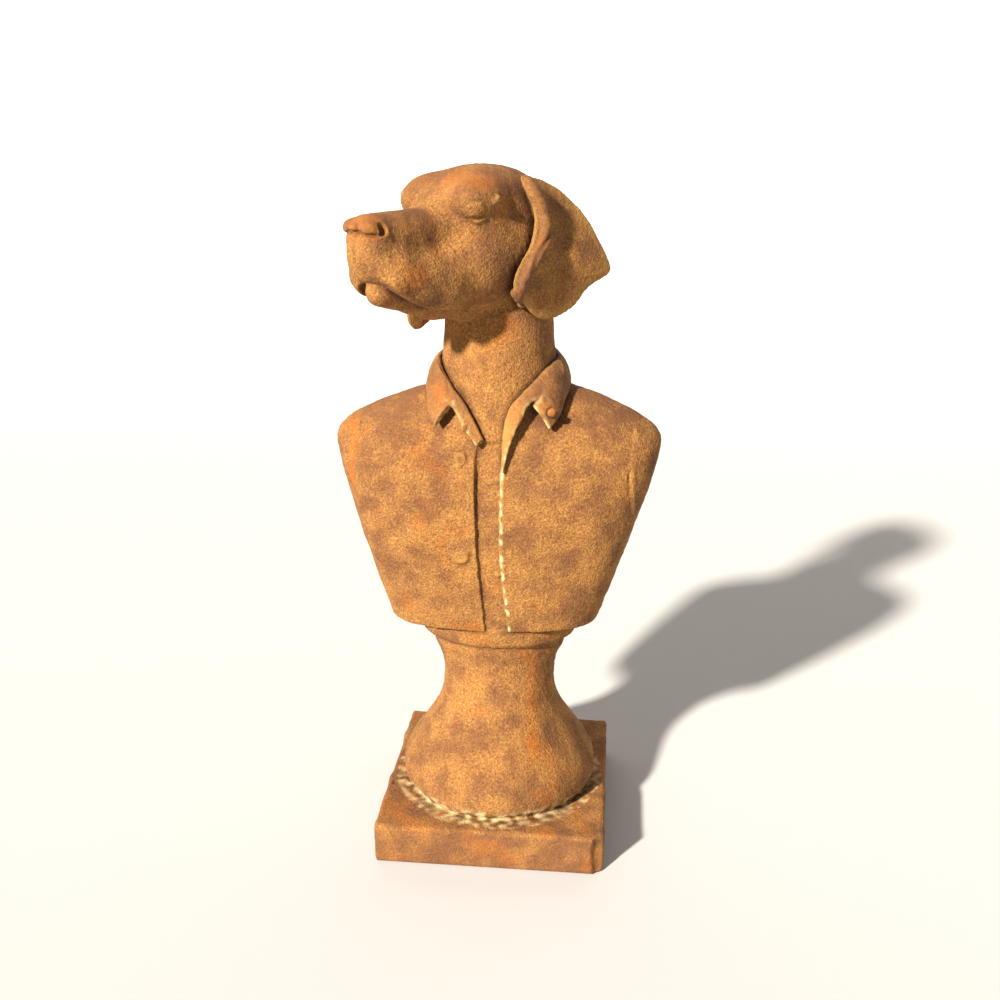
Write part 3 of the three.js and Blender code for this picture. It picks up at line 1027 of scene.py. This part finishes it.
@dataclass(frozen=True)
class ShirtSizes:
    """Sizes of the shirt, in millimetres.

    Attributes:
        stations: Height, half width, sideways shift, chest depth, back depth and squareness.
        underside: Height of its flat underside at the middle.
        tilt: Rise of the underside for each millimetre towards +x.
        strip: Height, left edge and right edge of the strip between the two fronts.
        strip_top, strip_length: Height where the strip starts, and how far down it runs.
        strip_left, strip_left_fall, strip_right: Its depth at the top left, how much less it is
            at the bottom left, and its depth at the right.
        front_edge: Height and place of the right front's powdery edge.
        shoulder_top, shoulder_start: Height of the shoulders, and where they begin to slope.
        shoulder_slope, shoulder_curve, shoulder_roll: How they slope, steepen and roll over.
        right_drop: How much lower the right shoulder starts.
        armhole: The left armhole's seam at the front.
        fold_shade, fold, front_seam: The groove and ridge of the right front's fold, and its edge.
        swells: Middle, spread and height of the slow swellings of the cloth.
        large_buttons: Place across, height, half width, half height and stand of each.
        small_buttons: Place across, height, radius and depth in the strip of each.
    """

    stations: tuple = (
        (180, 84, -4.0, 46, 46, 2.6), (204, 91.5, -3.6, 50, 50, 2.6), (240, 103, -2.8, 55, 53, 2.8),
        (270, 112, -2.4, 58, 55, 3.0), (300, 121, -1.6, 60, 57, 3.0),
        (325, 128.5, -0.8, 60, 57, 3.0), (345, 133.5, -0.8, 58.5, 57, 3.0),
        (365, 137, -0.8, 56, 55, 2.9), (385, 138.5, -0.8, 52, 51, 2.8),
        (415, 139, -0.8, 45, 46, 2.6),
    )
    underside: float = 203.5
    tilt: float = 0.01
    strip: tuple = (
        (190, -6, 14), (218, -8, 12), (267, -12.2, 7.4), (315, -14.1, 6.6), (345, -14.3, 7.5),
        (366, -14, 10), (377, -12, 10),
    )
    strip_top: float = 377.0
    strip_length: float = 187
    strip_left: float = 5.4
    strip_left_fall: float = 3.2
    strip_right: float = 1.9
    front_edge: tuple = (
        (190, 14.5), (218, 12.5), (267, 8), (315, 7.2), (345, 8), (366, 10), (377, 11),
    )
    shoulder_top: float = 411.5
    shoulder_start: float = 58
    shoulder_slope: float = 0.29
    shoulder_curve: float = 0.0022
    shoulder_roll: float = 72
    right_drop: float = 3.5
    armhole: tuple = (
        (112, -12, 392), (112.5, -24, 381), (110, -42, 350), (112, -38, 322), (115, -25, 293),
    )
    fold_shade: tuple = ((17, -50, 400), (23, -51, 385), (30, -55, 371))
    fold: tuple = ((26, -50, 403), (22, -53, 395), (16, -57, 380), (12, -58, 366), (8, -59, 340))
    front_seam: tuple = ((8.5, -60, 345), (7.4, -61, 315), (8, -60, 267), (12, -55, 218))
    swells: tuple = (
        ((60, -52, 268), (22, 20, 34), -1.6), ((70, -50, 330), (26, 20, 24), 1.4),
        ((-62, -50, 300), (28, 20, 30), 1.2),
    )
    large_buttons: tuple = ((-25.8, 360, 5.2, 6.6, 1.8), (-26, 276, 7, 7, 1.8))
    small_buttons: tuple = ((-2.3, 370, 2.8, 3.4), (4.1, 343.5, 3, 2.4), (4.9, 260.5, 3, 1.8))


class Shirt(Casting):
    """The shirt bust with its seams, its button strip and its buttons."""

    def __init__(self, sizes: ShirtSizes, skin: Skin) -> None:
        """Lays out clay round the shirt."""
        super().__init__("shirt", Lattice((-150, -76, 194), (150, 76, 452), skin.pitch), skin)
        self.sizes = sizes

    def model(self) -> None:
        """Works the body, then everything that is sewn to it."""
        self.clay.work(self.body, (-142, -64, 200), (142, 64, 420))
        self.clay.work(self.strip, (-16, -80, 190), (16, -30, 378), cut=True, width=0.6)
        self.neck_root()
        self.seams()
        self.buttons()

    def body(self, axes: Axes) -> Array:
        """A squarish plan at each height, under sloping shoulders that roll over front to back."""
        s = self.sizes
        x, y, z = axes
        columns = [c.reshape(z.shape).astype(np.float32) for c in smooth_read(s.stations, z.ravel())]
        half, shift, chest, back, power = columns
        depth = np.where(y < 0, chest, back)
        plan = (np.abs((x - shift) / half) ** power + np.abs(y / depth) ** power) ** (1 / power)
        wall = (plan - 1) * np.minimum(half, depth)
        out = np.maximum(np.abs(x) - s.shoulder_start, -s.shoulder_start)
        lowered = np.where(x < 0, s.right_drop * np.clip(1 - out / 70, 0, 1), 0)
        slope = s.shoulder_slope * out
        ridge = s.shoulder_top - lowered - slope - s.shoulder_curve * np.clip(out, 0, None) ** 2
        roof = (z - ridge + y * y / s.shoulder_roll) * 0.8
        floor = s.underside + s.tilt * x - z
        return rounded_max(rounded_max(wall, roof, 8), floor, 2.5)

    def chest(self, x: Array, z: Array) -> Array:
        """The y of the chest's surface at places across and up it."""
        half, shift, chest, _, power = smooth_read(self.sizes.stations, z)
        inside = np.clip(1 - np.abs((x - shift) / half) ** power, 0, 1)
        return -chest * inside ** (1 / power)

    def strip(self, axes: Axes) -> Array:
        """The room between the two shirt fronts, where the strip lies back."""
        s = self.sizes
        x, y, z = axes
        left, right = (c.reshape(z.shape) for c in smooth_read(s.strip, z.ravel()))
        wide = np.broadcast_arrays(x, z)
        front = self.chest(wide[0].ravel(), wide[1].ravel()).reshape(wide[0].shape)
        low = np.clip((s.strip_top - z) / s.strip_length, 0, 1)
        across = np.clip((x - left) / (right - left), 0, 1)
        deep = (s.strip_left - s.strip_left_fall * low) * (1 - across) + s.strip_right * across
        side = np.maximum(left - x, x - right)
        return np.maximum(np.maximum(side, y - (front + deep)), z - s.strip_top)

    def neck_root(self) -> None:
        """Lets the neck run into the shirt's opening with a soft corner."""
        neck = Clay(self.clay.lattice)
        neck.limb(Limb(NECK_FOOT, NECK_TOP, 51.7, 41.7))
        spans, axes = self.clay.lattice.block((-60, -70, 350), (60, 60, 452))
        inside = np.maximum(neck.values[spans], axes[2] - 400)
        self.clay.values[spans] = blend(self.clay.values[spans], inside, 7.0)

    def seams(self) -> None:
        """Scores the armholes and the right front's fold and edge, and swells the cloth."""
        s = self.sizes
        for hand in (1, -1):
            line = [(hand * x, y, z) for x, y, z in s.armhole]
            self.clay.score(line, 0.9, 1.6)
            self.clay.score([(x + hand * 3, y, z) for x, y, z in line], -0.8, 2.2)
            self.clay.score([(x, -y + 2, z) for x, y, z in line], 0.8, 1.8)
        self.clay.score(s.fold_shade, 2.2, 5.0)
        self.clay.score(s.fold, -1.2, 2.4)
        self.clay.score(s.front_seam, -0.9, 1.8, fade=0.1)
        for centre, half, height in s.swells:
            self.clay.swell(centre, half, height)

    def buttons(self) -> None:
        """Sets the large buttons, dished and ringed, and the small ones in the strip."""
        clay = self.clay
        for x, z, wide, high, stand in self.sizes.large_buttons:
            y = float(self.chest(np.array([x]), np.array([z]))[0])
            clay.lump(Lump((x, y, z), (wide, stand, high), 0.5))
            clay.lump(Lump((x, y - stand, z), (wide * 0.62, 0.8, high * 0.62), 0.6), cut=True)
            turns = np.linspace(-2.3, 1.0, 9)
            ring = [(x + wide * 1.12 * math.cos(a), y, z + high * 1.12 * math.sin(a)) for a in turns]
            clay.score(ring, 1.0, 1.1)
        for x, z, wide, sunk in self.sizes.small_buttons:
            y = float(self.chest(np.array([x]), np.array([z]))[0]) + sunk
            clay.lump(Lump((x, y, z), (wide, 1.9, wide), 0.5))

    def dress(self, places: Array) -> dict[str, Array]:
        """Powder along the right front's edge, and orange on the shoulder at -x."""
        x, y, z = places.T
        heights, edge = zip(*self.sizes.front_edge)
        line = np.interp(z, heights, edge)
        ridge = np.exp(-((x - line) / 1.1) ** 2) * (y < -30) * (z < 378)
        powder = np.clip(ridge * (0.5 + 0.7 * waves(places, 8, 41)), 0, 1)
        streak = np.exp(-((x + 119) / 4) ** 2) * smoothstep(z, 300, 330) * (y < 0)
        return {
            "powder": powder,
            "orange_streak": np.clip(streak * (0.5 + 0.4 * waves(places, 16, 42)), 0, 1),
            "smooth_skin": np.clip(0.25 + 0.35 * waves(places, 60, 43), 0, 0.7) * (z > 385),
        }


@dataclass(frozen=True)
class CollarSizes:
    """Sizes of the collar, in millimetres: each curve is a row of places on the statue's left.

    Attributes:
        leaf_fold, leaf_edge: The leaf's top fold and its free edge.
        band_inner, band_outer: The band's edges on the statue's right, beside the open neck.
        roll_inner, roll_outer: The same on its left, where the cloth rolls over.
        leaf, band: Their thicknesses.
        leaf_button, band_button: The small buttons on the left leaf and the right band.
    """

    leaf_fold: tuple = (
        (32, -49, 404), (38, -40, 419), (46, -20, 431), (49, 2, 434), (42, 28, 436), (23, 43, 438),
        (0, 48, 439),
    )
    leaf_edge: tuple = (
        (45.5, -53, 386), (52, -45, 394), (56, -25, 403), (58, 2, 408), (50, 32, 409), (28, 49, 409),
        (0, 55, 409),
    )
    band_inner: tuple = (
        (-49, -14, 432), (-43, -31, 427), (-35, -39, 418), (-25, -47.5, 408), (-16, -52.5, 395),
        (-6.5, -57, 377),
    )
    band_outer: tuple = (
        (-53, -22, 421), (-46, -38, 412), (-37, -48, 405), (-29, -53, 397), (-22, -57, 386),
        (-12, -59.5, 372),
    )
    roll_inner: tuple = (
        (48, -4, 434), (41, -26, 430), (31, -39, 421), (22, -46, 412), (14.5, -50.5, 403),
        (9.5, -54, 390), (8, -57, 374), (7.4, -59.5, 352),
    )
    roll_outer: tuple = (
        (54, -20, 423), (47, -37, 414), (37, -46.5, 409), (29, -52, 405), (24.5, -55.5, 396),
        (19.5, -58.5, 386), (14, -61, 371), (9.4, -61.5, 350),
    )
    leaf: float = 5.0
    band: float = 5.2
    leaf_button: Lump = Lump((47.5, -54.5, 400), (3.6, 2.6, 3.6), 0.4)
    band_button: Lump = Lump((-22, -58.5, 386.5), (2.7, 2.4, 2.9), 0.4)


class Collar(Casting):
    """The collar's leaves and bands, with their small buttons."""

    def __init__(self, sizes: CollarSizes, skin: Skin) -> None:
        """Lays out clay round the collar."""
        super().__init__("collar", Lattice((-66, -72, 340), (66, 64, 448), skin.pitch), skin)
        self.sizes = sizes

    def model(self) -> None:
        """Lays the bands and leaves round the neck and sets their buttons."""
        s = self.sizes
        self.clay.rings(leaf_rings(s.band_inner, s.band_outer, s.band, 0.6, 0.3), width=0.4)
        self.clay.rings(leaf_rings(s.roll_inner, s.roll_outer, s.band, 1.2, 0.6), width=0.4)
        for hand in (1, -1):
            fold = [(hand * x, y, z) for x, y, z in s.leaf_fold]
            edge = [(hand * x, y, z) for x, y, z in s.leaf_edge]
            self.clay.rings(leaf_rings(fold, edge, s.leaf, 2.4, 0.4), width=0.4)
        self.clay.lump(s.leaf_button)
        self.clay.lump(s.band_button)

    def dress(self, places: Array) -> dict[str, Array]:
        """Pale powder along the lower edges of the leaves and bands."""
        x, y, z = places.T
        s = self.sizes
        lines = []
        for hand, edge in ((-1, s.band_outer), (1, s.roll_outer)):
            lines.append(through(edge, 60))
            leaf = [(hand * 32, -51, 404), (hand * 38, -53, 396), (hand * 45, -55, 386)]
            lines.append(through(leaf, 30))
        line = np.vstack(lines)
        gap = np.empty(len(x))
        batch = 20000
        for start in range(0, len(places), batch):
            part = places[start:start + batch]
            away = np.linalg.norm(part[:, None] - line[None], axis=2)
            gap[start:start + batch] = np.min(away, axis=1)
        powder = np.exp(-(gap / 2.2) ** 2) * (z < 412) * (0.55 + 0.6 * waves(places, 7, 51))
        return {
            "powder": np.clip(powder, 0, 1),
            "orange_streak": np.clip(0.25 * waves(places, 22, 52), 0, 1),
            "smooth_skin": np.full(len(x), 0.55),
        }


@dataclass(frozen=True)
class HeadSizes:
    """Sizes of the hound's head, in millimetres, in its own frame.

    Attributes:
        turn: Direction that the muzzle points in, in degrees from +x.
        skull to throat: The forms that melt into the head, in the order that they are worked.
        lip: The lips' lower edge on the left, as places forward and their heights.
        lip_start: Where the trimming starts.
        lip_lower, lip_lower_front: How much lower the right lip hangs, and how much more in front.
        gape: The opening of the mouth.
        chin, jaw, jaw_root: The lower jaw from its tip back.
        eye: Radius of the eyeball.
        muzzle_front, nose_wings, nose_tip, nostrils: The nose.
        nose_edge, nose_groove: The nose's lower edge, and the groove down the muzzle's front.
        neck: Radii of the neck at its foot and its top.
        neck_root: Height where the head's clay ends inside the shirt.
        neck_ridge: The ridge down the neck, in the statue's frame.
        knots: Small knots under the ear.
        ear: Thickness of an ear.
        near_ear, far_ear: The ears' outlines.
        near_middle, far_middle: Their middles.
        ear_roll, roll_radii: The near ear's rolled front edge, and its radii from top to bottom.
        ear_crease, ear_back, ear_fold: The crease behind the roll, the one at the back, and a fold.
    """

    turn: float = 232.8
    skull: Lump = Lump((10, 0, 536), (58, 45, 50))
    forehead: Lump = Lump((38, 0, 553), (37, 38, 31), 14)
    brows: Lump = Lump((54, 27, 562), (20.5, 16.5, 16), 14, both=True)
    cheeks: Lump = Lump((36, 25, 514), (44, 22, 30), 18, both=True)
    bridge: Limb = Limb((58, 0, 538), (129, 0, 539), 21, 17, 14)
    muzzle: Lump = Lump((124, 0, 525), (21.5, 20, 19), 8)
    lips: Limb = Limb((122, 11.5, 512), (84, 14, 503), 19, 24.5, 10, both=True)
    nose: Lump = Lump((137.5, 0, 542.5), (12.5, 19, 12.5), 5)
    throat: Limb = Limb((70, 0, 498), (10, 0, 492), 17, 28, 16)
    lip: tuple = (
        (60, 483), (84, 485), (99, 486.5), (107, 489.5), (114.5, 492.5), (121, 496), (128, 500.6),
        (134, 505.3), (139, 509.5), (143, 513), (148, 515), (158, 516),
    )
    lip_start: float = 72
    lip_lower: float = 3.5
    lip_lower_front: float = 7.0
    gape: Lump = Lump((103, 0, 495), (47, 19.5, 17), 1.5, climb=4)
    chin: Limb = Limb((128, 2, 500.5), (100, 2, 495), 11.5, 13.5, 0.5)
    jaw: Limb = Limb((100, 2, 495), (74, 0, 491), 13.5, 17.5, 3)
    jaw_root: Limb = Limb((80, 0, 491), (30, 0, 490), 16, 24, 4)
    eye: float = 14.0
    muzzle_front: Lump = Lump((135.5, 0, 527), (16, 17.5, 18), 7)
    nose_wings: Lump = Lump((143, 9.5, 547), (7, 6.8, 5.5), 2.5, both=True)
    nose_tip: Lump = Lump((148.3, 0, 547.6), (5.2, 4.6, 3.0), 2.5)
    nostrils: Lump = Lump((137.2, 17, 547.5), (3.6, 5.0, 4.8), 1.0, both=True)
    nose_edge: tuple = (
        (135.5, 17, 550), (136, 17.6, 545.5), (139, 17.2, 543), (144, 14.5, 542.2), (147, 10, 543.2),
        (149, 5, 544.5), (150.5, 0, 543.5),
    )
    nose_groove: tuple = ((151, 0, 543), (152, 0, 530), (150, 0, 518))
    neck: tuple = (52, 42)
    neck_root: float = 386
    neck_ridge: tuple = ((-24, -42, 452), (-17, -45, 442), (-10, -48, 433), (-7, -50, 424))
    knots: tuple = ((34, 49, 494), (27, 46, 489), (20, 43, 484))
    ear: float = 9.0
    near_ear: tuple = (
        (-55, 58, 528), (-50, 49, 545), (-37, 41, 560), (-20, 37, 571), (2, 37, 578), (20, 41, 578),
        (15, 47, 560), (15, 51, 545), (22, 53, 529), (34, 52, 515), (39, 51, 499), (28, 50, 487),
        (12, 50, 473), (-8, 52, 470), (-26, 56, 477), (-40, 60, 491), (-60, 67, 504),
    )
    near_middle: Point = (-8, 53, 522)
    far_ear: tuple = (
        (-20, 44, 540), (-18, 42, 560), (-8, 38, 573), (4, 37, 579), (16, 40, 577), (24, 46, 560),
        (34, 52, 535), (44, 57, 505), (47, 60, 478), (44, 62, 460), (36, 62, 452), (26, 60, 456),
        (12, 57, 468), (-4, 54, 485), (-16, 50, 505),
    )
    far_middle: Point = (14, 52, 520)
    ear_roll: tuple = (
        (16, 41, 578), (11, 47, 566), (7, 51, 553), (6, 54, 542), (11, 56, 530), (21, 56, 518),
        (29, 54, 506), (32, 50, 494), (27, 45, 486),
    )
    roll_radii: tuple = (5.8, 4.4)
    ear_crease: tuple = (
        (8, 48, 575), (-1, 48, 562), (2, 56, 550), (4, 59, 540), (13, 60, 530), (20, 60, 524),
        (25, 60, 514), (28, 58, 503),
    )
    ear_back: tuple = ((-38, 67, 508), (-36, 66, 500), (-34, 63, 490))
    ear_fold: tuple = ((17, 58, 529), (1, 57, 532), (-19, 53, 534))


class Head(Casting):
    """The hound's head and neck, in its own frame: x forward, y to its left, z up."""

    def __init__(self, sizes: HeadSizes, skin: Skin) -> None:
        """Lays out clay round the head."""
        lattice = Lattice((-84, -84, 370), (160, 84, 602), skin.pitch)
        super().__init__("head", lattice, skin, turn=math.radians(sizes.turn))
        self.sizes = sizes

    def to_head(self, place: Point) -> tuple[float, float, float]:
        """Turns a place from the statue's frame into the head's."""
        c, s = math.cos(self.turn), math.sin(self.turn)
        return (place[0] * c + place[1] * s, -place[0] * s + place[1] * c, place[2])

    def model(self) -> None:
        """Works the skull and muzzle, then the mouth, the eyes, the nose, the neck and the ears."""
        self.skull()
        self.mouth()
        self.eyes()
        self.nose()
        self.neck()
        self.ears()

    def skull(self) -> None:
        """Melts the skull, brows, cheeks and muzzle together."""
        s = self.sizes
        for form in (s.skull, s.forehead, s.brows, s.cheeks, s.bridge, s.muzzle, s.lips, s.nose, s.throat):
            if isinstance(form, Limb):
                self.clay.limb(form)
            else:
                self.clay.lump(form)

    def mouth(self) -> None:
        """Trims the hanging lips to their edge, opens the mouth and sets the lower jaw in it."""
        clay, s = self.clay, self.sizes

        def below(axes: Axes) -> Array:
            """Distances to the room below the lips' edge."""
            (edge,) = smooth_read(s.lip, axes[0].ravel())
            lower = s.lip_lower + s.lip_lower_front * smoothstep(axes[0], 98, 138)
            edge = edge.reshape(axes[0].shape) - lower * smoothstep(-axes[1], 3, 10)
            return np.maximum((axes[2] - edge) * 0.85, s.lip_start - axes[0])

        clay.work(below, (72, -34, 460), (160, 34, 518), 1.4, cut=True)
        clay.lump(s.gape, cut=True)
        for part in (s.chin, s.jaw, s.jaw_root):
            clay.limb(part)
        clay.score([(forward, 24.5, height + 0.8) for forward, height in s.lip[3:9]], -0.8, 1.5)

    def eyes(self) -> None:
        """Sets an eyeball under its lids on each side."""
        clay, r = self.clay, self.sizes.eye
        for hand in (1, -1):
            seat = self.find((20, hand * 10, 557), (61, hand * 36, 557))
            out = clay.outward(seat[None], 2.0)[0]
            side = normalised(np.cross((0, 0, 1), out))
            up = np.cross(out, side)
            round_it = np.linspace(0, 2 * math.pi, 25)
            lid = [seat + 11.6 * math.cos(a) * side + 9.4 * math.sin(a) * up + out * 0.6 for a in round_it]
            clay.score(lid, -1.1, 2.2, fade=0)
            ball = seat + out * (1.7 - r)
            clay.lump(Lump(tuple(ball), (r, r, r), 0.4))
            slit = [seat + 9.2 * math.cos(a) * side + 7.3 * math.sin(a) * up + out * 0.3 for a in round_it]
            clay.score(slit, 1.7, 1.25, fade=0)
        clay.score([(55, 43.5, 560), (50, 45, 563.5), (46, 45.5, 567.5)], -1.8, 2.0, both=True)
        stop = [(74, 16, 562), (75, 27, 551), (73.5, 29, 540), (71, 37, 525), (66, 41, 518)]
        clay.score(stop, 1.3, 4.5, both=True)

    def find(self, start: Point, towards: Point) -> Array:
        """Follows a line out of the clay to its surface.

        Args:
            start: A place inside the clay.
            towards: A place that the line runs to.

        Returns:
            The first place outside the clay.
        """
        origin = np.array(start, dtype=float)
        heading = normalised(np.array(towards, dtype=float) - origin)
        steps = np.arange(0, 120, 0.25)
        values = self.clay.at(origin + steps[:, None] * heading)
        return origin + heading * steps[int(np.argmax(values > 0))]

    def nose(self) -> None:
        """Fills the muzzle's front, opens the nostrils and draws the nose's lower edge."""
        clay, s = self.clay, self.sizes
        for form in (s.muzzle_front, s.nose_wings, s.nose_tip):
            clay.lump(form)
        clay.lump(s.nostrils, cut=True)
        clay.score(s.nose_edge, 1.7, 1.5, both=True, fade=0.08)
        clay.score(s.nose_groove, 0.9, 1.6)

    def neck(self) -> None:
        """Raises the neck, with the ridge down its side and the knots under the ear."""
        clay, s = self.clay, self.sizes
        clay.limb(Limb(self.to_head(NECK_FOOT), self.to_head(NECK_TOP), *s.neck, 3.5))
        clay.score([self.to_head(place) for place in s.neck_ridge], -1.8, 2.6)
        for knot in s.knots:
            clay.lump(Lump(knot, (4.5, 4, 4), 2))
        clay.work(lambda axes: axes[2] - s.neck_root, (-84, -84, 360), (160, 84, 386), cut=True)

    def ears(self) -> None:
        """Hangs the ears, the near one with its rolled front edge."""
        clay, s = self.clay, self.sizes
        clay.rings(disc_rings(s.near_ear, s.near_middle, s.ear, 1), 1.2)
        clay.rings(disc_rings(s.far_ear, s.far_middle, s.ear, -1), 1.2)
        clay.rings(cord_rings(s.ear_roll, *s.roll_radii, (0, 1, 0)), 0.6)
        clay.score(s.ear_crease, 2.2, 1.7)
        clay.score(s.ear_back, 2.0, 1.3)
        clay.score(s.ear_fold, -1.0, 5.0)

    def dress(self, places: Array) -> dict[str, Array]:
        """A smoother, browner skin on the skull, the bridge of the nose and the rolled ear edge."""
        x, y, z = places.T
        crown = smoothstep(z, 560, 575) * 0.7
        bridge = smoothstep(x, 78, 100) * smoothstep(z, 538, 552)
        line = through(self.sizes.ear_roll, 24)
        away = np.min([np.hypot(x - a, z - c) for a, _, c in line], axis=0)
        roll = np.exp(-((away / 5.5) ** 4)) * (y > 46)
        return {
            "powder": np.zeros(len(x)),
            "orange_streak": np.exp(-((x - 50) / 22) ** 2 - ((z - 577) / 6) ** 2) * (y > 0) * 0.8,
            "smooth_skin": np.clip(np.maximum(np.maximum(crown, bridge), roll), 0, 1),
        }


# ---------------------------------------------------------------- studio


@dataclass(frozen=True)
class Studio:
    """The camera, the floor and the lights.

    Attributes:
        eye: The camera's place in metres.
        aim: The direction that it looks in.
        lens: Its focal length on a 36 mm sensor.
        key: Strength of the sun-like key light.
        key_way, key_width, key_colour: The way it shines, how wide it looks, and its colour.
        sky: Strength of the even light all round.
    """

    eye: Point = (0.0921, -0.9039, 0.6221)
    aim: Point = (-0.09505, 0.93988, -0.32801)
    lens: float = 39.906
    key: float = 9.5
    key_way: Point = (0.497, 0.709, -0.50)
    key_width: float = 3.5
    key_colour: Point = (1.0, 0.94, 0.86)
    sky: float = 0.22

    def build(self) -> None:
        """Sets up everything that isn't the statue."""
        self.camera()
        self.floor()
        self.lights()

    def camera(self) -> None:
        """Places the camera."""
        data = bpy.data.cameras.new("camera")
        data.lens = self.lens
        data.sensor_width = 36.0
        data.clip_start = 0.01
        camera = bpy.data.objects.new("camera", data)
        camera.location = self.eye
        camera.rotation_euler = Vector(self.aim).to_track_quat("-Z", "Y").to_euler()
        bpy.context.collection.objects.link(camera)
        bpy.context.scene.camera = camera

    def floor(self) -> None:
        """Lays a plain pale floor that sweeps up behind the statue."""
        front, depth, rise, curve, half, sunk = -6.0, 2.4, 5.0, 1.2, 9.0, 0.0004
        profile = [(front, 0.0), (depth - curve, 0.0)]
        for a in np.linspace(0, math.pi / 2, 13)[1:]:
            profile.append((depth - curve + curve * math.sin(a), curve - curve * math.cos(a)))
        profile.append((depth, rise))
        points = [(x, y, z - sunk) for y, z in profile for x in (-half, half)]
        faces = [(2 * i, 2 * i + 1, 2 * i + 3, 2 * i + 2) for i in range(len(profile) - 1)]
        mesh = bpy.data.meshes.new("floor")
        mesh.from_pydata(points, [], faces)
        mesh.polygons.foreach_set("use_smooth", [True] * len(faces))
        floor = bpy.data.objects.new("floor", mesh)
        bpy.context.collection.objects.link(floor)
        finish = Finish("pale_floor")
        finish.set(Base_Color=Tint.FLOOR, Roughness=0.9)
        mesh.materials.append(finish.material)

    def lights(self) -> None:
        """Hangs the key light at the upper left front, over an even sky."""
        data = bpy.data.lights.new("key", "SUN")
        data.energy = self.key
        data.angle = math.radians(self.key_width)
        data.color = self.key_colour
        key = bpy.data.objects.new("key", data)
        key.rotation_euler = Vector(self.key_way).to_track_quat("-Z", "Y").to_euler()
        bpy.context.collection.objects.link(key)
        world = bpy.data.worlds.new("sky")
        world.use_nodes = True
        background = world.node_tree.nodes["Background"]
        background.inputs[0].default_value = (1.0, 1.0, 1.0, 1.0)
        background.inputs[1].default_value = self.sky
        bpy.context.scene.world = world
        bpy.context.scene.view_settings.view_transform = "Standard"


def main() -> None:
    """Builds the studio and the four castings."""
    logging.basicConfig(level=logging.INFO, format="%(message)s")
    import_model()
    Studio().build()
    rust = Rust().build()
    coarse = 1.0
    castings = (
        Pedestal(PedestalSizes(), Skin(pitch=1.5 * coarse)),
        Shirt(ShirtSizes(), Skin(pitch=1.25 * coarse)),
        Collar(CollarSizes(), Skin(pitch=0.8 * coarse)),
        Head(HeadSizes(), Skin(pitch=1.05 * coarse)),
    )
    for casting in castings:
        casting.model()
    for casting in castings:
        mesh = casting.cast(rust, castings).data
        LOG.info("%s: %d vertices, %d faces", casting.name, len(mesh.vertices), len(mesh.polygons))


if __name__ == "__main__":
    main()
